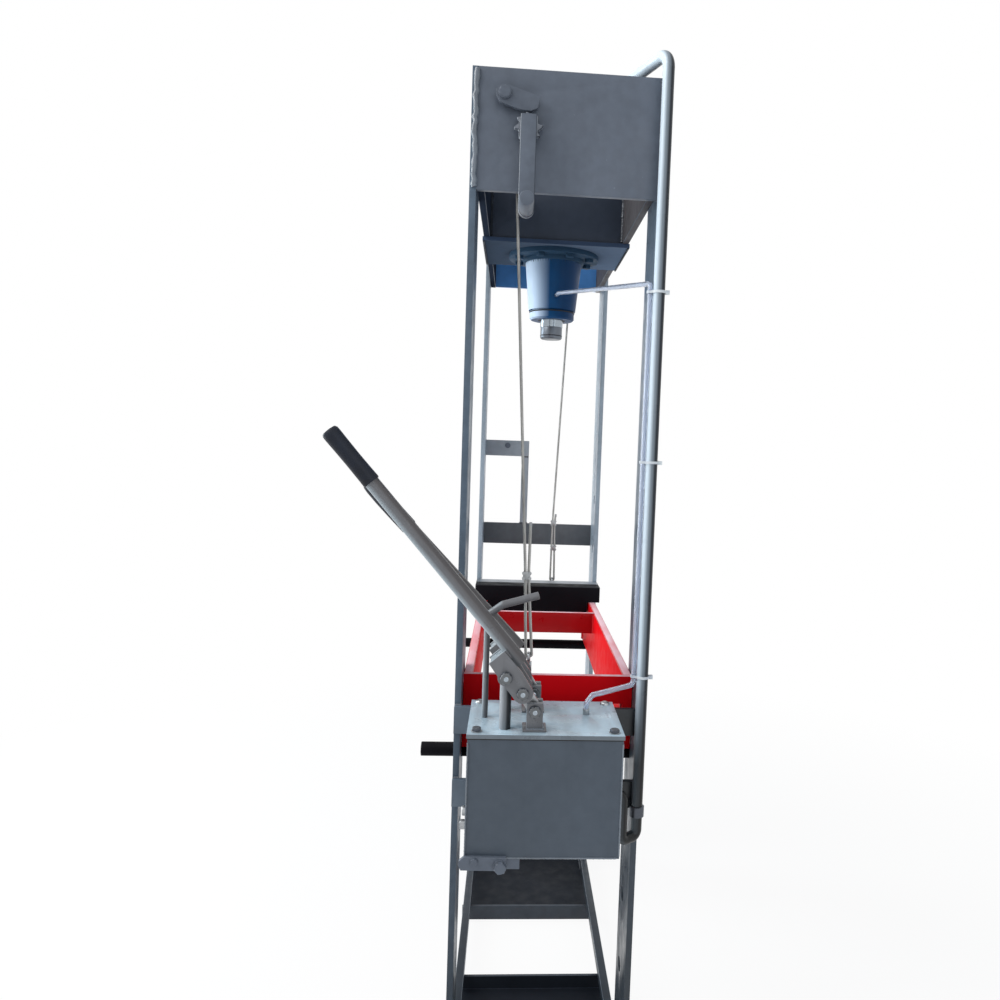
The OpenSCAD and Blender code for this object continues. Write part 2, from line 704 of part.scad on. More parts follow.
module link(y) color(steel) difference() {
    union() {
        xz_plate(y - link_t / 2, y + link_t / 2) {
            translate(b2) circle(10);
            translate(b3) circle(10);
            w = unit([b3[1] - b2[1], b2[0] - b3[0]]) * 10;
            polygon([b2 + w, b3 + w, b3 - w, b2 - w]);
        }
        y_rod(b2[0], b2[1], y - lever_gap + soft_gap, y + lever_gap - soft_gap, 9);
    }
    y_rod(b2[0], b2[1], y - 30, y + 30, bolt_d / 2 + fit);
    y_rod(b3[0], b3[1], y - 30, y + 30, link_eye);
}
module link_a() link(lever_a_y);
module link_b() link(lever_b_y);

module piston(y) color(steel) {
    difference() {
        translate([piston_x, y, block_z + 30]) cylinder(h = b1[1] + 11 - block_z - 30, r = piston_d / 2);
        y_rod(b1[0], b1[1], y - 20, y + 20, bolt_d / 2);
    }
    y_rod(b1[0], b1[1], y - lever_out - 0.5, y + lever_out + 0.5, bolt_d / 2);
    y_rod(b1[0], b1[1], y - lever_out - 7, y - lever_out - 0.5, bolt_d * 0.85, 6);
    y_rod(b1[0], b1[1], y + lever_out + 0.5, y + lever_out + 7, bolt_d * 0.85, 6);
}
lever_out = lever_gap + lever_plate_t;
module piston_a() piston(lever_a_y);
module piston_b() piston(lever_b_y);

// A lever lies along dir, with its tube set off from the line of its bolts
lever_a_dir = [-0.653, 0.757];
lever_b_dir = [-0.689, 0.725];
tube_off = 23.2;
tube_back = 32;
function normal_to(d) = [d[1], -d[0]];
function lever_point(d, along, off) = b2 + d * along + normal_to(d) * off;
function lever_3d(d, along, y) = let (p = lever_point(d, along, tube_off)) [p[0], y, p[1]];

module lever(y, d, length) {
    color(paint) for (s = [-1, 1]) difference() {
        xz_plate(y + (s > 0 ? lever_gap : -lever_out), y + (s > 0 ? lever_out : -lever_gap)) {
            translate(b2) circle(14.5);
            translate(b1) circle(12);
            polygon([lever_point(d, 0, -14.5), lever_point(d, 28, -13), lever_point(d, 63, -9.6),
                lever_point(d, 63, 18), lever_point(d, 26, 18), lever_point(d, 0, 14.5)]);
        }
        for (b = [b1, b2]) y_rod(b[0], b[1], y - 40, y + 40, bolt_d / 2 + (b == b1 ? fit : 0));
    }
    color(paint) difference() {
        bar_between(lever_3d(d, tube_back, y), lever_3d(d, length, y), tube_d / 2);
        bar_between(lever_3d(d, tube_back - 1, y), lever_3d(d, length + 1, y), tube_d / 2 - 2.5);
    }
    color(paint) difference() {
        xz_plate(y - lever_gap, y + lever_gap)
            polygon([lever_point(d, 49, -6), lever_point(d, 49, 20), lever_point(d, 62, 20),
                lever_point(d, 62, -8)]);
        bar_between(lever_3d(d, tube_back - 1, y), lever_3d(d, length + 1, y), tube_d / 2 - 1);
    }
    color(steel) {
        y_rod(b2[0], b2[1], y - lever_out, y + lever_out, bolt_d / 2);
        y_rod(b2[0], b2[1], y - lever_out - 6.5, y - lever_out, bolt_d * 0.85, 6);
        y_rod(b2[0], b2[1], y + lever_out, y + lever_out + 6.5, bolt_d * 0.85, 6);
    }
}
module lever_a() lever(lever_a_y, lever_a_dir, lever_a_len);
module lever_b() lever(lever_b_y, lever_b_dir, lever_b_len);

module grip(y, d, length) color(rubber) difference() {
    union() {
        bar_between(lever_3d(d, length - grip_len, y), lever_3d(d, length + 1, y), grip_d / 2);
        bar_between(lever_3d(d, length, y), lever_3d(d, length + 4, y), grip_d / 2 - 2);
    }
    bar_between(lever_3d(d, length - grip_len - 1, y), lever_3d(d, length, y), tube_d / 2 + 0.05);
}
module grip_a() grip(lever_a_y, lever_a_dir, lever_a_len);
module grip_b() grip(lever_b_y, lever_b_dir, lever_b_len);

// The release valve's rod, bent over into a lever
valve_top = tank_z1 + valve_up;
module release_lever() color(paint) {
    translate([valve_at[0], valve_at[1], block_z + 34])
        cylinder(h = valve_top - block_z - 34, r = valve_d / 2);
    bent_bar([[valve_at[0], valve_at[1], valve_top - 8], [valve_at[0], valve_at[1], valve_top + 6],
        [valve_at[0] + 22, valve_at[1], valve_top + 22], [valve_at[0] + 74, valve_at[1], valve_top + 37]],
        8, arm_d / 2);
}

// Brackets and bolts

strap_t = 6;
strap_z = tank_z0 - 17;
strap_bolt = [-70, strap_z + 9];
module tank_strap() color(paint) {
    difference() {
        xz_plate(tank_y0 - strap_t, tank_y0) polygon([[-62, strap_z + 2], [-62, tank_z0 + 4],
            [tank_x0, tank_z0 + 5], [tank_x0 - 7, tank_z0 - 1], [tank_x0 - 7, tank_z0 - 8],
            [tank_x0 - 4, strap_z + 3]]);
        y_rod(strap_bolt[0], strap_bolt[1], tank_y0 - 20, tank_y0 + 20, strap_bolt_r);
    }
    difference() {
        block([strap_bolt[0] - 10, tank_y0, strap_z + 2], [strap_bolt[0] + 27, tank_y0 + strap_t, tank_z0]);
        y_rod(strap_bolt[0], strap_bolt[1], tank_y0 - 20, tank_y0 + 20, strap_bolt_r);
    }
}
strap_bolt_r = 4;

bolt_play = 0.15;      // radial play of a bolt's shank in its hole
tank_bolt_z = low_bar_z + near_bar_h / 2;
tank_bolt_d = 10;
pawl_bolt_d = 12;
hanger_screw_x = -84.6;
hanger_screw_z = hanger_z + 27;
spacer_y = -col_y - 7;
module frame_bolts() color(steel) {
    for (x = tank_bolt_x) {
        y_rod(x, tank_bolt_z, front_y - tank_wall, -col_y, tank_bolt_d / 2 - bolt_play);
        y_rod(x, tank_bolt_z, -col_y, -col_y + 7, 9, 6);
        y_rod(x, tank_bolt_z, front_y - tank_wall - 8, front_y - tank_wall, 9, 6);
    }
    y_rod(pawl_x, pawl_z, -col_y, -col_y + end_plate_t, pawl_bolt_d / 2 - bolt_play);
    y_rod(pawl_x, pawl_z, spacer_y, -col_y, 9);
    y_rod(pawl_x, pawl_z, spacer_y - ratchet_t - 1, spacer_y, pawl_bolt_d / 2);
    y_rod(pawl_x, pawl_z, spacer_y - ratchet_t - 6, spacer_y - ratchet_t - 1, 9.5);
    y_rod(strap_bolt[0], strap_bolt[1], tank_y0 - strap_t, tank_y0 + strap_t, strap_bolt_r - bolt_play);
    y_rod(strap_bolt[0], strap_bolt[1], tank_y0 - strap_t - 6, tank_y0 - strap_t, 8.5, 6);
    y_rod(hanger_screw_x, hanger_screw_z, col_y, col_y + bar_t, 4 - bolt_play);
    y_rod(hanger_screw_x, hanger_screw_z, col_y - 4, col_y, 7);
}

// Winch

bush_d = 28;
bush_over = 6;
module winch_bushes() color(steel) for (sy = [-1, 1]) difference() {
    y_rod(shaft_x, shaft_z, sy > 0 ? col_y - end_plate_t - bush_over : -col_y - bush_over,
        sy > 0 ? col_y + bush_over : -col_y + end_plate_t + bush_over, bush_d / 2);
    y_rod(shaft_x, shaft_z, -col_y - 20, col_y + 20, shaft_d / 2 + fit);
}

drum_w = 18;
drum_rim = 25;
rim_t = 3;
crank_y = spacer_y - ratchet_t - 15;
module drum_profile() translate([0, -drum_w / 2 - rim_t]) {
    square([drum_rim, rim_t]);
    translate([0, rim_t]) square([drum_r, drum_w]);
    translate([0, rim_t + drum_w]) square([drum_rim, rim_t]);
}
module winch_shaft() color(steel) translate([shaft_x, 0, shaft_z]) rotate([-90, 0, 0])
    rotate_extrude() {
        translate([0, crank_y]) square([shaft_d / 2, col_y + 12 - crank_y]);
        for (sy = [-1, 1]) translate([0, sy * cable_y]) drum_profile();
    }

tooth = 360 / teeth;
tooth_h = 4;
module ratchet_wheel() color(steel) difference() {
    xz_plate(spacer_y - ratchet_t, spacer_y) translate([shaft_x, shaft_z])
        polygon([for (i = [0 : teeth - 1]) for (k = [0, 1])
            let (a = i * tooth + k * 2 + ratchet_turn, r = ratchet_r - k * tooth_h) [r * cos(a), r * sin(a)]]);
    y_rod(shaft_x, shaft_z, spacer_y - 30, spacer_y + 30, shaft_d / 2);
}
ratchet_turn = 8;

module winch_crank() color(paint) {
    difference() {
        block([shaft_x - crank_w / 2, crank_y, shaft_z - crank_len],
            [shaft_x + crank_w / 2, crank_y + 8, shaft_z + 14]);
        y_rod(shaft_x, shaft_z, crank_y - 1, crank_y + 9, shaft_d / 2);
    }
    difference() {
        y_rod(shaft_x, shaft_z - crank_len, crank_y, crank_y + 8, crank_w / 2);
        block([shaft_x - 20, crank_y - 1, shaft_z - crank_len], [shaft_x + 20, crank_y + 9, shaft_z]);
    }
    y_rod(shaft_x, shaft_z - crank_len, crank_y - handle_len, crank_y, handle_d / 2);
}

// The pawl rests just clear of the circle that the teeth run in
module pawl() color(paint) difference() {
    xz_plate(spacer_y - ratchet_t, spacer_y - 0.5) {
        translate([pawl_x, pawl_z]) circle(13);
        polygon([[pawl_x - 12, pawl_z - 6], [pawl_x - 8, pawl_z - 13],
            [shaft_x - 14.5, shaft_z + ratchet_r + 2], [shaft_x + 3, shaft_z + ratchet_r + 0.6],
            [shaft_x + 13, shaft_z + ratchet_r + 5.5], [shaft_x + 16, shaft_z + ratchet_r + 22.5],
            [pawl_x + 2, pawl_z + 13]]);
    }
    y_rod(pawl_x, pawl_z, spacer_y - 30, spacer_y + 30, pawl_bolt_d / 2 + fit);
}

// Guide pulley behind the far end plate's inner face, carried by a bolt
pulley_r = 16;
pulley_w = 10;
pulley_bolt_d = 12;
pulley_z = shaft_z - drum_r - cable_d - pulley_r - 2 * soft_gap;
pulley_y0 = cable_y - pulley_w / 2;
pulley_y1 = cable_y + pulley_w / 2;
module pulley_bracket() color(steel) {
    y_rod(pulley_x, pulley_z, pulley_y0 - 6, col_y, pulley_bolt_d / 2 - bolt_play / 2);
    y_rod(pulley_x, pulley_z, pulley_y1 + 1, col_y - end_plate_t, 10);
    y_rod(pulley_x, pulley_z, pulley_y0 - 6, pulley_y0 - 1, 9, 6);
    y_rod(pulley_x, pulley_z, col_y, col_y + 7, 9, 6);
}
module guide_pulley() color(steel) translate([pulley_x, cable_y, pulley_z]) rotate([-90, 0, 0])
    rotate_extrude() polygon([[pulley_bolt_d / 2 + fit, -pulley_w / 2], [pulley_r + 6, -pulley_w / 2],
        [pulley_r + 6, -cable_d / 2 - 1.6], [pulley_r, -cable_d / 2 - 0.4], [pulley_r, cable_d / 2 + 0.4],
        [pulley_r + 6, cable_d / 2 + 1.6], [pulley_r + 6, pulley_w / 2], [pulley_bolt_d / 2 + fit, pulley_w / 2]]);

// Cables: the long stretches shorten as the table rises
cable_r = cable_d / 2;
eye_r = 7;
eye_bar = 2.5;
eye_up = 28;
loop_up = eye_up + eye_r - eye_bar - cable_r - soft_gap;
near_top = [shaft_x - drum_r - cable_r - soft_gap, -cable_y, shaft_z];
near_clip = [-44, -cable_y, table_z + near_clip_up];
near_eye = [-34, -cable_y, table_z + loop_up];
far_top = [pulley_x + pulley_r + cable_r + soft_gap, cable_y, pulley_z];
far_clip = [pulley_x - 5.5, cable_y, table_z + far_clip_up];
far_eye = [pulley_x - 2, cable_y, table_z + loop_up];

module near_cable() color(steel) bar_between(near_top, near_clip + [0, 0, 0.4], cable_r);
module far_cable() color(steel) bar_between(far_top, far_clip + [0, 0, 0.4], cable_r);

module far_cable_lead() color(steel) {
    run_z = shaft_z - drum_r - cable_r - soft_gap;
    wrap_r = run_z - pulley_z;
    bar_between([shaft_x, cable_y, run_z], [pulley_x, cable_y, run_z], cable_r);
    translate([pulley_x, cable_y, pulley_z]) rotate([90, 0, 0])
        rotate_extrude(angle = 90) translate([wrap_r, 0]) circle(cable_r, $fn = 24);
}

// A loop of cable through an eye, from the clip and back past it to its cut end
loop_w = 10;
clip_gap = cable_d + 0.4;
module cable_loop(clip, eye, tail) {
    left = eye - [loop_w / 2, 0, 0];
    right = eye + [loop_w / 2, 0, 0];
    out = clip + [clip_gap, 0, -4];
    bent_bar([clip, left, right, out, clip + tail], [0, 3.4, 3.4, 60, 0], cable_r);
}
module cable_loops() color(steel) {
    cable_loop(near_clip, near_eye, [clip_gap + 0.6, 0, 85]);
    cable_loop(far_clip, far_eye, [clip_gap + 2, 0, 20]);
}

// Wire rope grips, each round both strands
clip_h = 14;
module cable_clip(p) difference() {
    translate(p + [-5, -5, -clip_h + 5]) cube([15.5, 10, clip_h]);
    translate(p + [-cable_r - 1, -cable_r - 0.6, -clip_h]) cube([clip_gap + cable_d + 2, cable_d + 1.2, clip_h + 9]);
}
module cable_clips() color(steel) {
    cable_clip(near_clip);
    cable_clip(far_clip);
}

// Table

module table_beams() color(red_paint) for (sx = [-1, 1])
    translate([sx * (table_x - beam_t / 2), 0, table_z0 + beam_h / 2])
        cube([beam_t, 2 * (table_y - member_t), beam_h], center = true);

// Rings on short stems, welded on the end members for the cables
module cable_ring(e) {
    translate([e[0], e[1], table_z + eye_up]) rotate([0, 90, 0])
        rotate_extrude() translate([eye_r, 0]) circle(eye_bar, $fn = 32);
    block([e[0] - 5, e[1] - 4, table_z - 0.5], [e[0] + 5, e[1] + 4, table_z + eye_up - eye_r]);
}

module table_cross_members() color(red_paint) {
    for (sy = [-1, 1]) mirror([0, sy > 0 ? 1 : 0, 0]) {
        block([-table_x, -table_y, table_z - member_h], [table_x, -table_y + member_t, table_z]);
        for (sx = [-1, 1]) mirror([sx < 0 ? 1 : 0, 0, 0])
            block([table_x - beam_t, -table_y, table_z0], [table_x, -table_y + member_t, table_z - member_h]);
    }
    block([-(table_x - beam_t), middle_y, table_z - member_h],
        [table_x - beam_t, middle_y + member_t, table_z]);
    cable_ring(near_eye);
    cable_ring(far_eye);
}

module table_pin(sy) color(black)
    x_rod(sy * hole_y, pin_z, -post_x - pin_left, post_x + pin_right, pin_d / 2);
module near_pin() table_pin(-1);
module far_pin() table_pin(1);

tongue_x = table_x - beam_t - 4;
module press_plate(y) color(black) {
    block([-plate_x, y, table_z], [plate_x, y + plate_t, table_z + plate_up]);
    block([-tongue_x, y, table_z - plate_down], [tongue_x, y + plate_t, table_z]);
}
module front_press_plate() press_plate(plate_y);
module rear_press_plate() press_plate(rear_plate_y);

near_posts();
far_posts();
near_end_plate();
far_end_plate();
head_side_plates();
head_cross_plates();
head_bottom_plate();
weld_beads();
base_rails();
base_trays();
near_cross_bars();
far_cross_bars();
cylinder_barrel();
cylinder_gland();
cylinder_cap();
flange_screws();
wiper_seal();
pressure_pipe();
pipe_fittings();
drain_hose();
cable_ties();
tank_shell();
tank_lid();
lid_gasket();
lid_screws();
pump_block();
suction_filter();
pump_lugs();
tank_strap();
frame_bolts();
winch_bushes();
pulley_bracket();
near_cable();
far_cable();
far_cable_lead();
ram();
ram_nose();
return_spring();
table_beams();
table_cross_members();
cable_loops();
cable_clips();
winch_shaft();
ratchet_wheel();
winch_crank();
pawl();
guide_pulley();
near_pin();
far_pin();
front_press_plate();
rear_press_plate();
lever_a();
grip_a();
lever_b();
grip_b();
link_a();
link_b();
piston_a();
piston_b();
release_lever();
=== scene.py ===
import json
import math
import random

import bmesh
import bpy
from mathutils import Matrix, Vector


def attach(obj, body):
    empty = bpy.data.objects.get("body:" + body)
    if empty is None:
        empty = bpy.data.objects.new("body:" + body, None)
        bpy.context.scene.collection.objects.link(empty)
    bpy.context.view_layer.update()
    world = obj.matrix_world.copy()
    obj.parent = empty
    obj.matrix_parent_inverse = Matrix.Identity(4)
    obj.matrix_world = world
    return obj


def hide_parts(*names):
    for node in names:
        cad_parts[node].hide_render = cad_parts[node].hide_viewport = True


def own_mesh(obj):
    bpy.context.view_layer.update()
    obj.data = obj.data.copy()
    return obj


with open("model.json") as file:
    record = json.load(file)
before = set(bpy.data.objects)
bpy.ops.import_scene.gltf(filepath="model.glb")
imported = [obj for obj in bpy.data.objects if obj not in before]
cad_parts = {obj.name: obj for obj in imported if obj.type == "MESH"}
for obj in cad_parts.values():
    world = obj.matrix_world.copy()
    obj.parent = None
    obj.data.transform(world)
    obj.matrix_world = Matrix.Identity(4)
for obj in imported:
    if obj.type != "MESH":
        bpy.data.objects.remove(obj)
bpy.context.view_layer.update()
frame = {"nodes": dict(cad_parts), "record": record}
NODES = frame["nodes"]
BODY_OF = {n: b for b, ns in frame["record"]["behaviour"]["bodies"].items() for n in ns}


def mm(x, y, z):
    """A point given in millimetres, in metres"""
    return Vector((x, y, z)) / 1000


# Main sizes, in millimetres, the same as in the part's source
LID_Z = 696
TABLE_Z = 721.5
PIN_Y = 365
PIN_Z = 588
SHAFT = (-63, 1575)
CRANK_LEN = 126
CRANK_HALF = 12
PULLEY_X = 42
PULLEY_Z = 1537.4
PULLEY_R = 16
DRUM_R = 16
CABLE_Y = 380
CABLE_R = 2.5
ROPE_GAP = 0.3
LEVER_Y = {"a": -566, "b": -482}
LEVER_DIR = {"a": (-0.653, 0.757), "b": (-0.689, 0.725)}
LEVER_LEN = {"a": 448, "b": 366}
GRIP_LEN = 88
PISTON_BOLT = (-70, 774)
KNEE_BOLT = (-46, 752)
LUG_BOLT = (-28, 725)
TUBE_OFF = 23.2
PIPE = (144.5, -449.3)
SPRING_Z = (1376.4, 1588.6)
NEAR_CLIP = (-44, -CABLE_Y, TABLE_Z + 166)
FAR_CLIP = (36.5, CABLE_Y, TABLE_Z + 180)
EYE_Z = TABLE_Z + 29.7


# Materials

class Shader:
    """A material with a Principled shader and short ways to add to it"""

    def __init__(self, name, base, rough=0.5, metal=0.0, **sockets):
        self.mat = bpy.data.materials.new(name)
        self.mat.use_nodes = True
        self.tree = self.mat.node_tree
        self.bsdf = self.tree.nodes["Principled BSDF"]
        self.bsdf.inputs["Base Color"].default_value = (*base, 1)
        self.bsdf.inputs["Roughness"].default_value = rough
        self.bsdf.inputs["Metallic"].default_value = metal
        for key, value in sockets.items():
            self.bsdf.inputs[key.replace("_", " ")].default_value = value
        self.coord = self.tree.nodes.new("ShaderNodeTexCoord")
        self.mat.diffuse_color = (*base, 1)

    def add(self, kind, **settings):
        node = self.tree.nodes.new(kind)
        for key, value in settings.items():
            setattr(node, key, value)
        return node

    def link(self, a, b):
        self.tree.links.new(a, b)

    def noise(self, scale, detail=3, stretch=(1, 1, 1), rough=0.5):
        mapping = self.add("ShaderNodeMapping")
        mapping.inputs["Scale"].default_value = stretch
        self.link(self.coord.outputs["Object"], mapping.inputs["Vector"])
        node = self.add("ShaderNodeTexNoise")
        node.inputs["Scale"].default_value = scale
        node.inputs["Detail"].default_value = detail
        node.inputs["Roughness"].default_value = rough
        self.link(mapping.outputs["Vector"], node.inputs["Vector"])
        return node.outputs["Fac"]

    def ramp(self, fac, stops):
        node = self.add("ShaderNodeValToRGB")
        bar = node.color_ramp
        while len(bar.elements) < len(stops):
            bar.elements.new(0.5)
        for element, (at, grey) in zip(bar.elements, stops):
            element.position = at
            value = grey if hasattr(grey, "__len__") else (grey,) * 3
            element.color = (*value, 1)
        self.link(fac, node.inputs["Fac"])
        return node.outputs["Color"]

    def mix(self, fac, a, b, mode="MIX"):
        node = self.add("ShaderNodeMix", data_type="RGBA", blend_type=mode)
        for value, socket in ((fac, node.inputs[0]), (a, node.inputs[6]), (b, node.inputs[7])):
            if isinstance(value, bpy.types.NodeSocket):
                self.link(value, socket)
            else:
                socket.default_value = (*value, 1) if hasattr(value, "__len__") else value
        return node.outputs[2]

    def bump(self, height, distance, strength=1.0):
        node = self.add("ShaderNodeBump")
        node.inputs["Distance"].default_value = distance
        node.inputs["Strength"].default_value = strength
        self.link(height, node.inputs["Height"])
        old = self.bsdf.inputs["Normal"].links
        if old:
            self.link(old[0].from_socket, node.inputs["Normal"])
        self.link(node.outputs["Normal"], self.bsdf.inputs["Normal"])

    def colour(self, socket):
        self.link(socket, self.bsdf.inputs["Base Color"])

    def along(self, source, axis, start, end):
        """0 at start and 1 at end, along one axis of a vector socket"""
        parts = self.add("ShaderNodeSeparateXYZ")
        self.link(source, parts.inputs["Vector"])
        span = self.add("ShaderNodeMapRange")
        span.inputs["From Min"].default_value = start
        span.inputs["From Max"].default_value = end
        self.link(parts.outputs[axis], span.inputs["Value"])
        return span.outputs["Result"]

    def normal(self):
        return self.add("ShaderNodeNewGeometry").outputs["Normal"]

    def roughness(self, socket):
        self.link(socket, self.bsdf.inputs["Roughness"])


def tint(base, k):
    return tuple(min(1.0, c * k) for c in base)


def paint(name, base, rough=0.42, grime=0.25, wear=0.0, worn=None, coat=0.0, shine=0.35, top=None,
          painted_shade=None, sides=None):
    """Workshop paint with mottling, runs, fine orange peel and, where wear is given, chips.
    It can have a lighter upper side broken up by noise (a painted sheen, with rubbed paint), a painted
    highlight on faces turned left, painted shade on faces turned right, and painted shade towards one end."""
    s = Shader(name, base, rough, 0.0, Coat_Weight=coat, Coat_Roughness=0.2, Specular_IOR_Level=shine)
    dull = tint(base, 1 - grime * 0.6)
    clean = tint(base, 1 + grime * 0.35)
    broad = s.ramp(s.noise(5, 4), [(0.3, dull), (0.72, clean)])
    fine = s.ramp(s.noise(60, 5), [(0.35, 1 - grime * 0.35), (0.65, 1.0)])
    runs = s.ramp(s.noise(22, 3, (1, 1, 0.12)), [(0.4, 1 - grime * 0.3), (0.62, 1.0)])
    out = s.mix(1.0, s.mix(1.0, broad, fine, "MULTIPLY"), runs, "MULTIPLY")
    # A lighter upper side: a painted sheen on the faces turned up, broken up by noise, with rubbed paint too
    if top:
        up = s.along(s.normal(), "Z", 0.8, 0.95)
        sheen_and_rub_spots = s.ramp(s.noise(30, 5, (1, 0.25, 1)), [(0.25, 0.35), (0.6, 1.0)])
        out = s.mix(s.mix(1.0, up, sheen_and_rub_spots, "MULTIPLY"), out, top)
    if wear:
        chips = s.ramp(s.noise(150, 6, rough=0.7), [(0.72 - wear * 0.1, 0.0), (0.76 - wear * 0.1, 1.0)])
        patches = s.ramp(s.noise(9, 2), [(0.5, 0.0), (0.62, 1.0)])
        mask = s.mix(1.0, chips, patches, "MULTIPLY")
        out = s.mix(mask, out, worn)
    # Painted highlight on the faces turned left and painted shade on the faces turned right
    if sides:
        left, right = sides
        out = s.mix(s.along(s.normal(), "X", -0.15, -0.7), out, left)
        out = s.mix(s.along(s.normal(), "X", 0.02, 0.42), out, right)
    # Painted shade that darkens the colour towards one end, along an axis of the object
    if painted_shade:
        axis, start, end, share = painted_shade
        reach = s.along(s.coord.outputs["Object"], axis, start, end)
        out = s.mix(1.0, out, s.ramp(reach, [(0.0, share), (1.0, 1.0)]), "MULTIPLY")
    s.colour(out)
    s.roughness(s.ramp(s.noise(40, 4), [(0.3, rough - 0.08), (0.7, rough + 0.12)]))
    s.bump(s.noise(420, 2), 0.00005)
    s.bump(s.noise(26, 3), 0.00035, 0.5)
    return s.mat


def metal(name, base, rough=0.3, grain=(1, 1, 1), scale=300, mottle=0.15, deep=0.00004):
    """Bare metal with a turned or brushed grain along the stretched axis"""
    s = Shader(name, base, rough, 1.0)
    lines = s.noise(scale, 3, grain)
    tone = s.ramp(s.noise(25, 4), [(0.3, tint(base, 1 - mottle)), (0.7, tint(base, 1.05))])
    s.colour(s.mix(1.0, tone, s.ramp(lines, [(0.35, 0.88), (0.65, 1.0)]), "MULTIPLY"))
    s.roughness(s.ramp(lines, [(0.3, max(0.02, rough - 0.07)), (0.7, rough + 0.1)]))
    s.bump(lines, deep)
    return s.mat


def rubber(name, base, rough=0.6):
    """Dull rubber or plastic with a fine grain"""
    s = Shader(name, base, rough, 0.0, Specular_IOR_Level=0.3)
    s.colour(s.ramp(s.noise(70, 4), [(0.3, tint(base, 0.75)), (0.7, tint(base, 1.35))]))
    s.bump(s.noise(700, 2), 0.00006)
    return s.mat


def clear_plastic(name):
    s = Shader(name, (0.80, 0.86, 0.97), 0.12, 0.0, Transmission_Weight=0.8, IOR=1.45)
    s.bump(s.noise(220, 2), 0.00004)
    return s.mat


